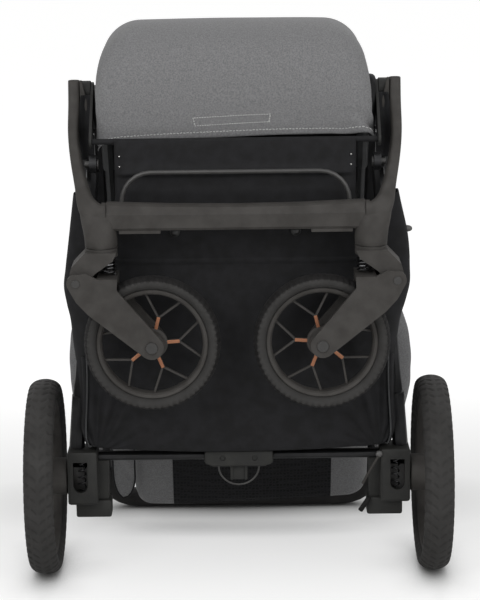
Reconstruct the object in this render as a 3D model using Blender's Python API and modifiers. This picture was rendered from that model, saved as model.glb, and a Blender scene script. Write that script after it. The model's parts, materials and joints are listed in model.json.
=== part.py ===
"""Folding pushchair, modelled in its folded position, standing on its rear wheels and push handle.

Metres, +Z up, +X to the chair's side, -Y towards its front casters. The origin lies on the floor
under the middle of the folded chair. Each moving group hangs from an empty on its joint's axis.
"""
import math

import bmesh
import bpy
from mathutils import Vector

# Clearance between neighbouring pieces
GAP = 0.0003
# Running clearance of parts that slide or turn
RUN = 0.0012

# Depth of the rear axle behind the origin, which is negative: the axle lies towards the front
REAR_Y = -0.082
# Swivel axes of the front casters, in front of the rear axle
FRONT_Y = REAR_Y - 0.115

# Rear wheels
REAR_RADIUS = 0.140
REAR_TYRE_WIDTH = 0.041
REAR_TYRE_HEIGHT = 0.027
REAR_TRACK_HALF = 0.278
REAR_HUB_RADIUS = 0.0265
REAR_HUB_INNER = 0.0315
REAR_HUB_OUTER = 0.014
REAR_AXLE_RADIUS = 0.008

# Front wheels
FRONT_RADIUS = 0.0937
FRONT_TYRE_WIDTH = 0.034
FRONT_TYRE_HEIGHT = 0.0173
FRONT_HUB_RADIUS = 0.017
FRONT_AXLE_RADIUS = 0.005
FRONT_AXLE_X = 0.116
FRONT_AXLE_Z = 0.362

# What both kinds of wheel share
WHEEL_STEPS = 36
RIM_RING = 0.0067
RIM_WIDTH_SHARE = 0.72
SPOKE_COUNT = 5
SPOKE_WIDTH = 0.0032
SPOKE_STEM_WIDTH = 0.0052
SPOKE_THICKNESS = 0.004
SPOKE_SPREAD = math.radians(21.0)
CLIP_WIDTH = 0.0048
CLIP_THICKNESS = 0.0022
CLIP_LENGTH = 0.018

# Casters: swivel axis, fork pivot and suspension
SWIVEL_X = 0.183
SOCKET_RADIUS = 0.022
SWIVEL_SEAM_Z = 0.496
PIVOT_X = 0.217
PIVOT_Z = 0.452
FORK_DEPTH = 0.066
FORK_SLOT = 0.054
FORK_TIP_RADIUS = 0.0165
FORK_HEAD_RADIUS = 0.0125
FORK_PIN_RADIUS = 0.004
CASTER_SPRING_X = 0.1745
CASTER_SPRING_RADIUS = 0.0095
CASTER_SPRING_WIRE = 0.0014
CASTER_SPRING_TURNS = 4
CASTER_SPRING_SEAT_Z = PIVOT_Z + 0.0052
CASTER_SPRING_TOP_Z = CASTER_SPRING_SEAT_Z + 0.0235

# Front frame: crossbar, arms and the hinge points that they carry
CROSSBAR_HALF = 0.175
CROSSBAR_Y = REAR_Y - 0.112
CROSSBAR_Z = 0.538
CROSSBAR_HEIGHT = 0.037
CROSSBAR_DEPTH = 0.032
ARM_TOP_Z = 0.709
WIRE_RADIUS = 0.0032
WIRE_HALF = 0.155
WIRE_TOP_Z = 0.594
WIRE_CORNER = 0.040

# Hinge points of the fold
FOLD_Y = REAR_Y - 0.052
FOLD_Z = 0.600
HANDLE_Y = REAR_Y + 0.015
HANDLE_Z = 0.693
SEAT_Y = FOLD_Y - 0.006
SEAT_Z = FOLD_Z + 0.032

# Layers across the folding hinges, measured from the middle plane
ARM_INNER_AT_HANDLE = 0.214
HANDLE_PLATE = 0.0133
SEAT_BRACKET = 0.0037
HANDLE_EYE_RADIUS = 0.013
SEAT_EYE_RADIUS = 0.009
BOLT_HEAD = 0.0024
BOLT_RADIUS = 0.006
LEG_EYE_INNER = 0.1905
LEG_EYE_WIDTH = 0.010
LEG_EYE_RADIUS = 0.013
LEG_PIN_RADIUS = 0.005

# Rear frame
LEG_RADIUS = 0.009
LEG_SLEEVE_RADIUS = 0.0112
BRACKET_OUTER = REAR_TRACK_HALF - REAR_HUB_INNER - 5 * GAP
BRACKET_INNER = BRACKET_OUTER - 0.043
LEG_FOOT_X = BRACKET_OUTER - 0.013
BRACKET_LOW = 0.104
BRACKET_HIGH = 0.183
BRACKET_FRONT = REAR_Y - 0.030
BRACKET_BACK = REAR_Y + 0.022
BRACKET_WALL = 0.006
WINDOW_X = BRACKET_OUTER - 0.0185
WINDOW_WIDTH = 0.0205
WINDOW_HEIGHT = 0.045
WINDOW_LOW = 0.1225
SUSPENSION_TRAVEL = 0.012
REAR_SPRING_RADIUS = 0.0050
REAR_SPRING_WIRE = 0.0011
REAR_SPRING_TURNS = 6
AXLE_TUBE_Z = 0.1695
AXLE_TUBE_HEIGHT = 0.013
AXLE_TUBE_DEPTH = 0.018

# Brake in the middle of the rear axle
BRAKE_HALF = 0.049
BRAKE_HEIGHT = 0.023
BRAKE_CHAMFER = 0.005
BRAKE_DEPTH = 0.040
BRAKE_LOOP_HALF = 0.029
BRAKE_LOOP_DROP = 0.0275
BRAKE_LOOP_RADIUS = 0.0015
PEDAL_WIDTH = 0.025
PEDAL_LENGTH = 0.022

# Push handle: tubes from its hinge down to the grip bar on the floor
HANDLE_TUBE_X = 0.210
HANDLE_TUBE_RADIUS = 0.0115
HANDLE_GRIP_RADIUS = 0.015
HANDLE_FLOOR_Y = REAR_Y + 0.300
HANDLE_CORNER = 0.050
HANDLE_PLATE_LENGTH = 0.060
HANDLE_PLATE_RADIUS = 0.015

# Backrest: a shallow fabric tray in front of the handle tubes
BACKREST_TOP = 0.065
BACKREST_SHOULDER = 0.325
BACKREST_END = 0.690
BACKREST_NARROW = 0.163
BACKREST_SET = 0.070
BACKREST_WALL = 0.005
BACKREST_CORNER = 0.030

# Seat pan
PAN_HALF = 0.163
PAN_LENGTH = 0.098
PAN_THICKNESS = 0.010
PAN_ROD_RADIUS = 0.004

# Hood: a cap that swings about a point on the handle tubes
HOOD_ALONG = 0.300
HOOD_HALF = 0.1905
HOOD_TOP_HALF = 0.1830
HOOD_WALL = 0.0025
HOOD_HEM_CORNER = 0.036
HOOD_TOP_CORNER = 0.066
HOOD_REACH = 0.100
HOOD_INNER_RADIUS = 0.2695
HOOD_LEG_X = 0.1775
HOOD_LEG_ANGLE = math.radians(124.0)
HOOD_ROD_RADIUS = 0.006
HOOD_SLEEVE_RADIUS = 0.009
HOOD_SLEEVE_START = 0.203
HOOD_SLEEVE_END = 0.2795
HOOD_EYE_RADIUS = 0.011

# Storage basket between the crossbar and the rear axle
BASKET_WALL = 0.003
BASKET_FLARE_Z = 0.455
BASKET_TOP_Z = 0.5125

SIDES = (("l", -1.0), ("r", 1.0))


def new_collection(name):
    collection = bpy.data.collections.new(name)
    bpy.context.scene.collection.children.link(collection)
    return collection


def clear_scene():
    for obj in list(bpy.data.objects):
        bpy.data.objects.remove(obj)


def material(name, colour, roughness, metallic=0.0):
    """Plain Principled material in linear colour."""
    mat = bpy.data.materials.new(name)
    mat.use_nodes = True
    shader = mat.node_tree.nodes["Principled BSDF"]
    shader.inputs["Base Color"].default_value = (*colour, 1.0)
    shader.inputs["Roughness"].default_value = roughness
    shader.inputs["Metallic"].default_value = metallic
    return mat


COLOURS = {
    "plastic": ((0.040, 0.039, 0.037), 0.55, 0.0),
    "metal": ((0.050, 0.050, 0.050), 0.40, 0.6),
    "rubber": ((0.035, 0.034, 0.033), 0.85, 0.0),
    "black_cloth": ((0.016, 0.016, 0.019), 0.90, 0.0),
    "grey_cloth": ((0.160, 0.160, 0.162), 0.90, 0.0),
    "copper": ((0.460, 0.165, 0.068), 0.35, 0.7),
    "spring": ((0.220, 0.220, 0.230), 0.30, 1.0),
}


def joint_empty(name, place, parent=None):
    """Empty on a joint's axis, which carries the pieces that move about it."""
    empty = bpy.data.objects.new(name, None)
    empty.empty_display_size = 0.03
    empty.location = place
    PARTS.objects.link(empty)
    bpy.context.view_layer.update()
    attach(empty, parent)
    return empty


def attach(obj, parent):
    """Hang an object from another and keep its place."""
    if parent is None:
        return
    bpy.context.view_layer.update()
    obj.parent = parent
    obj.matrix_parent_inverse = parent.matrix_world.inverted()


def finish(obj, name, look, parent):
    """Name a piece, give it its own material and hang it from its group."""
    obj.name = name
    obj.data.name = name
    colour, roughness, metallic = COLOURS[look]
    obj.data.materials.clear()
    obj.data.materials.append(material(name, colour, roughness, metallic))
    PARTS.objects.link(obj)
    attach(obj, parent)
    return obj


def as_cutter(obj, name="cutter"):
    obj.name = name
    obj.hide_render = True
    obj.display_type = "WIRE"
    CUTTERS.objects.link(obj)
    return obj


def boolean(obj, other, operation):
    modifier = obj.modifiers.new(operation.title(), "BOOLEAN")
    modifier.operation = operation
    modifier.solver = "EXACT"
    modifier.object = other


def cut(obj, cutter):
    boolean(obj, as_cutter(cutter), "DIFFERENCE")


def join(obj, other):
    boolean(obj, as_cutter(other, "joined"), "UNION")


def bevel(obj, width, segments=2, angle=40.0):
    modifier = obj.modifiers.new("Bevel", "BEVEL")
    modifier.width = width
    modifier.segments = segments
    modifier.limit_method = "ANGLE"
    modifier.angle_limit = math.radians(angle)


def mesh_object(bm):
    """Closed mesh object with its faces turned outwards."""
    bmesh.ops.recalc_face_normals(bm, faces=bm.faces)
    mesh = bpy.data.meshes.new("mesh")
    bm.to_mesh(mesh)
    bm.free()
    return bpy.data.objects.new("piece", mesh)


def box(centre, size):
    bm = bmesh.new()
    bmesh.ops.create_cube(bm, size=1.0)
    bmesh.ops.scale(bm, vec=Vector(size), verts=bm.verts)
    obj = mesh_object(bm)
    obj.location = centre
    return obj


AXIS_TURN = {
    "x": (0.0, math.radians(90.0), 0.0),
    "y": (math.radians(-90.0), 0.0, 0.0),
    "z": (0.0, 0.0, 0.0),
}


def cylinder(centre, axis, radius, length, sides=24):
    bm = bmesh.new()
    bmesh.ops.create_cone(bm, cap_ends=True, segments=sides, radius1=radius, radius2=radius, depth=length)
    obj = mesh_object(bm)
    obj.location = centre
    obj.rotation_euler = AXIS_TURN[axis]
    return obj


def turned(centre, axis, profile, steps, closed):
    """Profile of (radius, distance along the axis) turned about the axis through the centre."""
    bm = bmesh.new()
    verts = [bm.verts.new((radius, 0.0, along)) for radius, along in profile]
    for first, second in zip(verts, verts[1:]):
        bm.edges.new((first, second))
    if closed:
        bm.edges.new((verts[-1], verts[0]))
    mesh = bpy.data.meshes.new("turned")
    bm.to_mesh(mesh)
    bm.free()
    obj = bpy.data.objects.new("turned", mesh)
    obj.location = centre
    obj.rotation_euler = AXIS_TURN[axis]
    screw = obj.modifiers.new("Screw", "SCREW")
    screw.angle = math.radians(360.0)
    screw.steps = steps
    screw.render_steps = steps
    screw.use_merge_vertices = True
    screw.merge_threshold = 0.00001
    return obj


def curve_to_mesh(obj):
    """Welded closed mesh of a curve object, which it replaces."""
    bpy.context.scene.collection.objects.link(obj)
    bpy.context.view_layer.update()
    depsgraph = bpy.context.evaluated_depsgraph_get()
    mesh = bpy.data.meshes.new_from_object(obj.evaluated_get(depsgraph))
    bm = bmesh.new()
    bm.from_mesh(mesh)
    bmesh.ops.remove_doubles(bm, verts=bm.verts, dist=0.00002)
    result = mesh_object(bm)
    result.matrix_world = obj.matrix_world
    bpy.data.objects.remove(obj)
    return result


def add_loop(curve, points):
    spline = curve.splines.new("POLY")
    spline.points.add(len(points) - 1)
    for target, point in zip(spline.points, points):
        target.co = (point[0], point[1], 0.0, 1.0)
    spline.use_cyclic_u = True


FLAT_TURN = {
    "x": (math.radians(90.0), 0.0, math.radians(90.0)),
    "y": (math.radians(90.0), 0.0, 0.0),
}


def flat(centre, axis, loops, thickness):
    """Flat outline, given as loops of points, with its thickness along the axis.

    Across the X axis an outline's points are (y, z), across the Y axis they are (x, z).
    """
    curve = bpy.data.curves.new("outline", "CURVE")
    curve.dimensions = "2D"
    curve.fill_mode = "BOTH"
    curve.extrude = thickness / 2
    for points in loops:
        add_loop(curve, points)
    obj = bpy.data.objects.new("outline", curve)
    obj.location = centre
    obj.rotation_euler = FLAT_TURN[axis]
    return curve_to_mesh(obj)


def tube(points, radius, resolution=2):
    """Round tube or wire along a chain of points, as a curve object."""
    curve = bpy.data.curves.new("tube", "CURVE")
    curve.dimensions = "3D"
    curve.bevel_depth = radius
    curve.bevel_resolution = resolution
    curve.use_fill_caps = True
    spline = curve.splines.new("POLY")
    spline.points.add(len(points) - 1)
    for target, point in zip(spline.points, points):
        target.co = (*point, 1.0)
    return bpy.data.objects.new("tube", curve)


def loft(rings):
    """Closed solid through rings of equal length, with both ends capped."""
    bm = bmesh.new()
    rows = [[bm.verts.new(point) for point in ring] for ring in rings]
    count = len(rows[0])
    for lower, upper in zip(rows, rows[1:]):
        for index in range(count):
            after = (index + 1) % count
            bm.faces.new((lower[index], lower[after], upper[after], upper[index]))
    bm.faces.new(rows[0])
    bm.faces.new(rows[-1])
    return mesh_object(bm)


def arc(centre, radius, start, end, count):
    """Points on a circle between two angles in degrees, both ends included."""
    points = []
    for index in range(count + 1):
        angle = math.radians(start + (end - start) * index / count)
        points.append((centre[0] + radius * math.cos(angle), centre[1] + radius * math.sin(angle)))
    return points


def mirrored(points, side):
    """Outline points (x, z) of the right side, for either side."""
    return [(point[0] * side, point[1]) for point in points]


def smoothed(points, per_span=4):
    """Catmull-Rom chain through the given points."""
    chain = [Vector(point) for point in points]
    extended = [2 * chain[0] - chain[1]] + chain + [2 * chain[-1] - chain[-2]]
    result = []
    for index in range(1, len(extended) - 2):
        before, start, end, after = extended[index - 1:index + 3]
        for step in range(per_span):
            t = step / per_span
            result.append(0.5 * (2 * start + (end - before) * t
                                 + (2 * before - 5 * start + 4 * end - after) * t ** 2
                                 + (3 * start - before - 3 * end + after) * t ** 3))
    result.append(chain[-1])
    return result


def helix(base, radius, height, turns, per_turn=8):
    """Points of a coil that climbs from a base point."""
    points = []
    for index in range(turns * per_turn + 1):
        angle = 2 * math.pi * index / per_turn
        points.append(Vector((base[0] + radius * math.cos(angle),
                              base[1] + radius * math.sin(angle),
                              base[2] + height * index / (turns * per_turn))))
    return points


def report_coil_gap(name, height, turns, wire):
    """Print the free space between the turns of a spring."""
    free = height / turns - 2 * wire
    print(f"{name}: least gap between turns {free * 1000:.2f} mm")
    assert free > 0.0004


def ring_points(centre, half_a, half_b, count=16, power=0.55):
    """Rounded rectangle as a superellipse, in two plane coordinates."""
    points = []
    for index in range(count):
        angle = 2 * math.pi * (index + 0.5) / count
        cosine = math.cos(angle)
        sine = math.sin(angle)
        points.append((centre[0] + half_a * math.copysign(abs(cosine) ** power, cosine),
                       centre[1] + half_b * math.copysign(abs(sine) ** power, sine)))
    return points


def channel_ring(half, depth, corner, wall, crown):
    """Section of a shallow channel: (across, down) points of its outside, then of its inside.

    The floor lies at 0 and bulges by the crown, and the side walls go down to the depth.
    """
    def path(inset):
        side = half - inset
        radius = corner - inset
        left = [(-side, depth)] + [(x, corner + y) for x, y in arc((radius - side, 0), radius, 180, 270, 4)]
        right = [(-x, y) for x, y in reversed(left)]
        middle = [(x * (side - radius), inset) for x in (-0.5, 0.0, 0.5)]
        points = left + middle + right
        return [(x, y - crown * (1 - (x / side) ** 2)) for x, y in points]
    return path(0.0) + list(reversed(path(wall)))


def link_outline(first, first_radius, second, second_radius, steps=8):
    """Outline round two circles, such as a flat link with an eye at each end."""
    offset = Vector(second) - Vector(first)
    heading = math.degrees(math.atan2(offset.y, offset.x))
    lean = math.degrees(math.acos((first_radius - second_radius) / offset.length))
    return (arc(first, first_radius, heading + lean, heading + 360 - lean, steps)
            + arc(second, second_radius, heading - lean, heading + lean, steps))


def pin(centre, axis, shank, head, grip, head_height, second_head=True):
    """Headed pin whose heads lie outside the grip length, with its middle at the centre."""
    half = grip / 2
    top = half + head_height
    profile = [(0.0, top), (head, top), (head, half), (shank, half)]
    if second_head:
        profile += [(radius, -along) for radius, along in reversed(profile)]
    else:
        profile += [(shank, -half), (0.0, -half)]
    return turned(centre, axis, profile, 12, False)


def tyre_profile(radius, height, width):
    """Round-shouldered tyre section from its upper bead round to its lower one."""
    bore = radius - height
    half = width / 2
    upper = [(bore, half * 0.62), (bore + height * 0.45, half), (radius - height * 0.14, half * 0.80),
             (radius, half * 0.34)]
    return upper + [(r, -along) for r, along in reversed(upper)]


def rim_profile(outer, ring, half):
    upper = [(outer - ring, half * 0.78), (outer - ring * 0.65, half), (outer, half)]
    return upper + [(r, -along) for r, along in reversed(upper)]


def polar(radius, angle, offset=0.0):
    """Point at a radius and angle, moved sideways by an offset."""
    return (radius * math.cos(angle) - offset * math.sin(angle),
            radius * math.sin(angle) + offset * math.cos(angle))


def spoke_star(hub_radius, rim_radius, first_angle):
    """Outline of Y-shaped spokes, from inside the hub to inside the rim."""
    root = hub_radius - 0.001
    fork = hub_radius + CLIP_LENGTH + 0.003
    tip = rim_radius + 0.002
    half_stem = SPOKE_STEM_WIDTH / 2
    half_tip = SPOKE_WIDTH / 2 / tip
    points = []
    for index in range(SPOKE_COUNT):
        angle = first_angle + 2 * math.pi * index / SPOKE_COUNT
        points += [polar(root, angle, -half_stem), polar(fork, angle, -half_stem),
                   polar(tip, angle - SPOKE_SPREAD - half_tip), polar(tip, angle - SPOKE_SPREAD + half_tip),
                   polar(fork + SPOKE_STEM_WIDTH, angle),
                   polar(tip, angle + SPOKE_SPREAD - half_tip), polar(tip, angle + SPOKE_SPREAD + half_tip),
                   polar(fork, angle, half_stem), polar(root, angle, half_stem)]
    return points


def clip_star(hub_radius, first_angle):
    """Outline of the clips over the spoke stems, linked by a thin ring round the hub."""
    ring = hub_radius + 0.0022
    tip = hub_radius + CLIP_LENGTH
    half = CLIP_WIDTH / 2
    points = []
    for index in range(SPOKE_COUNT):
        angle = first_angle + 2 * math.pi * index / SPOKE_COUNT
        points += [polar(ring, angle, -half), polar(tip, angle, -half),
                   polar(tip, angle, half), polar(ring, angle, half)]
        points += [polar(ring + 0.0004, angle + math.radians(turn)) for turn in (24, 36, 48)]
    return points


def wheel(prefix, tag, centre, axis, radius, width, height, hub, axle_radius, first_angle, parent):
    """Tyre and spoked rim of one wheel; hub is (radius, upper end, lower end) along the axis."""
    hub_radius, hub_top, hub_bottom = hub
    rim_radius = radius - height - GAP
    tyre = turned(centre, axis, tyre_profile(radius, height, width), WHEEL_STEPS, True)
    finish(tyre, f"{prefix}_tyre_{tag}", "rubber", parent)
    rim_half = width * RIM_WIDTH_SHARE / 2
    rim = turned(centre, axis, rim_profile(rim_radius, RIM_RING, rim_half), WHEEL_STEPS, True)
    finish(rim, f"{prefix}_rim_{tag}", "plastic", parent)
    bore = axle_radius + 2 * GAP
    hole = arc((0, 0), (bore + hub_radius) / 2, 0, 337.5, 15)
    star = spoke_star(hub_radius, rim_radius - RIM_RING, first_angle)
    join(rim, flat(centre, axis, [star, hole], SPOKE_THICKNESS))
    core = [(bore, hub_top), (hub_radius, hub_top), (hub_radius, hub_bottom), (bore, hub_bottom)]
    join(rim, turned(centre, axis, core, 20, True))


def spoke_clips(name, centre, axis, hub_radius, first_angle, parent):
    """Clips that lie on the front of the spoke stems of a wheel."""
    sides = 24
    inner = (hub_radius + 2 * GAP) / math.cos(math.pi / sides)
    hole = arc((0, 0), inner, 0, 360 - 360 / sides, sides - 1)
    offset = SPOKE_THICKNESS / 2 + GAP + CLIP_THICKNESS / 2
    place = Vector(centre) - Vector((0, offset, 0))
    clips = flat(place, axis, [clip_star(hub_radius, first_angle), hole], CLIP_THICKNESS)
    finish(clips, name, "copper", parent)


def handle_frame():
    """Unit vectors down the folded handle and square to it, and the handle's length."""
    drop = HANDLE_Z - HANDLE_GRIP_RADIUS
    run = HANDLE_FLOOR_Y - HANDLE_Y
    length = math.hypot(drop, run)
    return (run / length, -drop / length), (drop / length, run / length), length


def on_handle(x, along, across=0.0):
    """Place given by its distance down the handle and across it."""
    down, square, _ = handle_frame()
    return Vector((x, HANDLE_Y + along * down[0] + across * square[0],
                   HANDLE_Z + along * down[1] + across * square[1]))


def crossbar_section(x):
    """Crossbar section (y, z) with a crease along its front; its top sags towards the middle."""
    half_y = CROSSBAR_DEPTH / 2
    half_z = CROSSBAR_HEIGHT / 2
    sag = 0.0045 * (1 - (x / CROSSBAR_HALF) ** 2)
    points = [(-0.72, -1.0), (-0.94, -0.80), (-1.0, 0.22), (-0.66, 0.86), (-0.30, 1.0),
              (0.72, 1.0), (1.0, 0.72), (1.0, -0.72), (0.72, -1.0)]
    return [Vector((x, CROSSBAR_Y + y * half_y, CROSSBAR_Z + z * half_z - sag * max(z, 0.0)))
            for y, z in points]


def arm_rings(side):
    """Sections along a front arm, from the crossbar's end up to the handle hinge."""
    stations = [
        (CROSSBAR_HALF + GAP, -0.113, CROSSBAR_Z, 0.0185, 0.0170),
        (0.190, -0.113, CROSSBAR_Z + 0.0012, 0.0185, 0.0200),
        (0.2010, -0.108, 0.553, 0.0130, 0.0180),
        (0.2070, -0.092, 0.568, 0.0095, 0.0150),
        (0.2125, -0.070, 0.583, 0.0085, 0.0135),
        (0.2190, -0.045, 0.607, 0.0080, 0.0130),
        (0.2240, -0.020, 0.640, 0.0075, 0.0125),
        (0.2230, 0.000, 0.672, 0.0085, 0.0120),
        (ARM_INNER_AT_HANDLE + 0.009, 0.015, ARM_TOP_Z - 0.003, 0.0090, 0.0130),
    ]
    path = smoothed([(x, REAR_Y + y, z) for x, y, z, _, _ in stations], 2)
    halves = smoothed([(width, depth, 0.0) for _, _, _, width, depth in stations], 2)
    rings = []
    for index, place in enumerate(path):
        ahead = path[min(index + 1, len(path) - 1)]
        behind = path[max(index - 1, 0)]
        along = Vector((1.0, 0.0, 0.0)) if index == 0 else (ahead - behind).normalized()
        deep = (Vector((0, 1, 0)) - along * along.y).normalized()
        wide = along.cross(deep)
        half_width, half_depth, _ = halves[index]
        ring = [place + wide * a + deep * b for a, b in ring_points((0, 0), half_width, half_depth, 12)]
        rings.append([Vector((p.x * side, p.y, p.z)) for p in ring])
    return rings


def front_frame():
    """Crossbar, arms, caster sockets, wire bow and the pins of the folding hinges."""
    bar = loft([crossbar_section(x * CROSSBAR_HALF) for x in (-1.0, -0.5, 0.0, 0.5, 1.0)])
    finish(bar, "crossbar", "plastic", None)
    for _, side in SIDES:
        ledge_top = CROSSBAR_Z - CROSSBAR_HEIGHT / 2
        join(bar, box((side * 0.130, CROSSBAR_Y - 0.002, ledge_top - 0.001), (0.056, 0.018, 0.007)))
    for tag, side in SIDES:
        finish(loft(arm_rings(side)), f"front_arm_{tag}", "plastic", None)
        socket_low = SWIVEL_SEAM_Z + GAP
        socket_high = CROSSBAR_Z - CROSSBAR_HEIGHT / 2 - GAP
        socket = [(0.0, socket_high), (SOCKET_RADIUS, socket_high),
                  (SOCKET_RADIUS, socket_low + 0.001), (SOCKET_RADIUS - 0.001, socket_low), (0.0, socket_low)]
        socket = turned((side * SWIVEL_X, FRONT_Y, 0.0), "z", socket, 20, False)
        finish(socket, f"caster_socket_{tag}", "plastic", None)
        bracket_x = HANDLE_LAYERS["bracket"]
        link = link_outline((HANDLE_Y, HANDLE_Z), HANDLE_EYE_RADIUS, (SEAT_Y, SEAT_Z), SEAT_EYE_RADIUS)
        bracket = flat((side * bracket_x, 0, 0), "x", [link], SEAT_BRACKET)
        finish(bracket, f"seat_bracket_{tag}", "plastic", None)
        cut(bracket, cylinder((side * bracket_x, HANDLE_Y, HANDLE_Z), "x", BOLT_RADIUS + 3 * GAP, 0.02, 16))
        add_hinge_pin(f"handle_bolt_{tag}", side, HANDLE_Y, HANDLE_Z, BOLT_RADIUS, 0.009,
                      HANDLE_LAYERS["bolt"], ARM_INNER_AT_HANDLE - GAP)
        add_hinge_pin(f"leg_pin_{tag}", side, FOLD_Y, FOLD_Z, LEG_PIN_RADIUS, 0.0075,
                      LEG_EYE_INNER - GAP, LEG_EYE_INNER + LEG_EYE_WIDTH + 0.0065)
    wire_y = CROSSBAR_Y + CROSSBAR_DEPTH / 2 + WIRE_RADIUS + GAP
    corner = arc((WIRE_HALF - WIRE_CORNER, WIRE_TOP_Z - WIRE_CORNER), WIRE_CORNER, 0, 90, 6)
    half = [(WIRE_HALF, CROSSBAR_Z + 0.008)] + corner
    chain = [Vector((x, wire_y, z)) for x, z in half + [(-x, z) for x, z in reversed(half)]]
    finish(tube(chain, WIRE_RADIUS), "wire_bow", "metal", None)


def add_hinge_pin(name, side, y, z, shank, head, start, end):
    """Pin across the chair whose head lies inside its start and whose shank reaches its end."""
    middle = Vector((side * (start + end) / 2, y, z))
    obj = pin(middle, "x", shank, head, end - start, BOLT_HEAD, False)
    if side > 0:
        obj.rotation_euler = (0.0, math.radians(-90.0), 0.0)
    finish(obj, name, "metal", None)


def hinge_layers():
    """Middles of the layers across the handle hinge, inwards from the arm."""
    plate_outer = ARM_INNER_AT_HANDLE - 2 * GAP
    plate_inner = plate_outer - HANDLE_PLATE
    bracket_outer = plate_inner - GAP
    bracket_inner = bracket_outer - SEAT_BRACKET
    return {
        "plate": (plate_outer + plate_inner) / 2,
        "bracket": (bracket_outer + bracket_inner) / 2,
        "bracket_inner": bracket_inner,
        "bolt": bracket_inner - GAP,
    }


HANDLE_LAYERS = hinge_layers()


def fork_outline(side):
    """Fork seen from the front: tip round the axle, broad shoulder round the pivot."""
    tip = (FRONT_AXLE_X, FRONT_AXLE_Z)
    pivot = (PIVOT_X, PIVOT_Z)
    points = arc(tip, FORK_TIP_RADIUS, 139, 309, 10)
    points += [(PIVOT_X - 0.0155, PIVOT_Z - 0.043), (PIVOT_X, PIVOT_Z - 0.026)]
    points += arc(pivot, FORK_HEAD_RADIUS, -24, 104, 7)
    seat = CASTER_SPRING_RADIUS + 0.004
    points += [(PIVOT_X - 0.014, PIVOT_Z + 0.0135), (CASTER_SPRING_X + seat, CASTER_SPRING_SEAT_Z),
               (CASTER_SPRING_X - seat, CASTER_SPRING_SEAT_Z),
               (CASTER_SPRING_X - seat + 0.0005, CASTER_SPRING_SEAT_Z - 0.016)]
    return mirrored(points, side)


def head_outline(side):
    """Caster head seen from the front, from the swivel collar down to the fork pivot."""
    top = SWIVEL_SEAM_Z - 0.004
    points = [(SWIVEL_X - SOCKET_RADIUS + 0.0005, top), (SWIVEL_X - 0.0165, top - 0.011),
              (PIVOT_X - 0.0265, PIVOT_Z + 0.012)]
    points += arc((PIVOT_X, PIVOT_Z), FORK_HEAD_RADIUS - RUN, 200, 390, 8)
    points += [(PIVOT_X + 0.0055, PIVOT_Z + 0.021), (SWIVEL_X + SOCKET_RADIUS - 0.0005, top)]
    return mirrored(points, side)


def caster(tag, side):
    """Swivelling head, spring, fork and spoked wheel of one front caster."""
    centre = Vector((0, FRONT_Y, 0))
    swivel = joint_empty(f"swivel_{tag}", (side * SWIVEL_X, FRONT_Y, SWIVEL_SEAM_Z))
    pivot = joint_empty(f"fork_pivot_{tag}", (side * PIVOT_X, FRONT_Y, PIVOT_Z), swivel)
    axle = joint_empty(f"front_axle_joint_{tag}", (side * FRONT_AXLE_X, FRONT_Y, FRONT_AXLE_Z), pivot)
    head_depth = FORK_SLOT - 2 * RUN
    head = flat(centre, "y", [head_outline(side)], head_depth)
    finish(head, f"caster_head_{tag}", "plastic", swivel)
    collar_top = SWIVEL_SEAM_Z - GAP
    collar = [(0.0, collar_top), (SOCKET_RADIUS - 0.001, collar_top), (SOCKET_RADIUS, collar_top - 0.001),
              (SOCKET_RADIUS, collar_top - 0.012), (0.0, collar_top - 0.012)]
    join(head, turned((side * SWIVEL_X, FRONT_Y, 0.0), "z", collar, 20, False))
    pocket_x = CASTER_SPRING_X + 0.0005
    pocket = (0.027, head_depth, 0.03)
    cut(head, box((side * pocket_x, FRONT_Y + 0.006, CASTER_SPRING_TOP_Z - pocket[2] / 2), pocket))
    cut(head, cylinder((side * PIVOT_X, FRONT_Y, PIVOT_Z), "y", FORK_PIN_RADIUS + 2 * GAP, 0.08, 12))

    height = CASTER_SPRING_TOP_Z - CASTER_SPRING_SEAT_Z - 2 * CASTER_SPRING_WIRE - 2 * GAP
    base = (side * CASTER_SPRING_X, FRONT_Y, CASTER_SPRING_SEAT_Z + CASTER_SPRING_WIRE + GAP)
    coil = tube(helix(base, CASTER_SPRING_RADIUS, height, CASTER_SPRING_TURNS), CASTER_SPRING_WIRE, 1)
    finish(coil, f"caster_spring_{tag}", "spring", swivel)
    report_coil_gap(f"caster spring {tag}", height, CASTER_SPRING_TURNS, CASTER_SPRING_WIRE)

    fork = flat(centre, "y", [fork_outline(side)], FORK_DEPTH)
    finish(fork, f"fork_{tag}", "plastic", pivot)
    hub = (side * FRONT_AXLE_X, FRONT_Y, FRONT_AXLE_Z)
    cut(fork, cylinder(hub, "y", FRONT_RADIUS + 0.005, FORK_SLOT, 40))
    cut(fork, box((side * (PIVOT_X + 0.003), FRONT_Y, PIVOT_Z + 0.012), (0.062, FORK_SLOT, 0.054)))
    cut(fork, cylinder((side * PIVOT_X, FRONT_Y, PIVOT_Z), "y", FORK_PIN_RADIUS + 2 * GAP, 0.08, 12))
    cut(fork, cylinder(hub, "y", FRONT_AXLE_RADIUS + 2 * GAP, 0.08, 12))
    grip = FORK_DEPTH + 2 * GAP
    fork_pin = pin((side * PIVOT_X, FRONT_Y, PIVOT_Z), "y", FORK_PIN_RADIUS, 0.0055, grip, 0.0015)
    finish(fork_pin, f"fork_pin_{tag}", "metal", pivot)
    finish(pin(hub, "y", FRONT_AXLE_RADIUS, 0.008, grip, 0.0025), f"front_axle_{tag}", "metal", pivot)

    first_angle = math.radians(10.0 if side < 0 else 170.0)
    hub_half = FORK_SLOT / 2 - RUN
    wheel("front", tag, hub, "y", FRONT_RADIUS, FRONT_TYRE_WIDTH, FRONT_TYRE_HEIGHT,
          (FRONT_HUB_RADIUS, hub_half, -hub_half), FRONT_AXLE_RADIUS, first_angle, axle)
    spoke_clips(f"spoke_clips_{tag}", hub, "y", FRONT_HUB_RADIUS, first_angle, axle)


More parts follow.
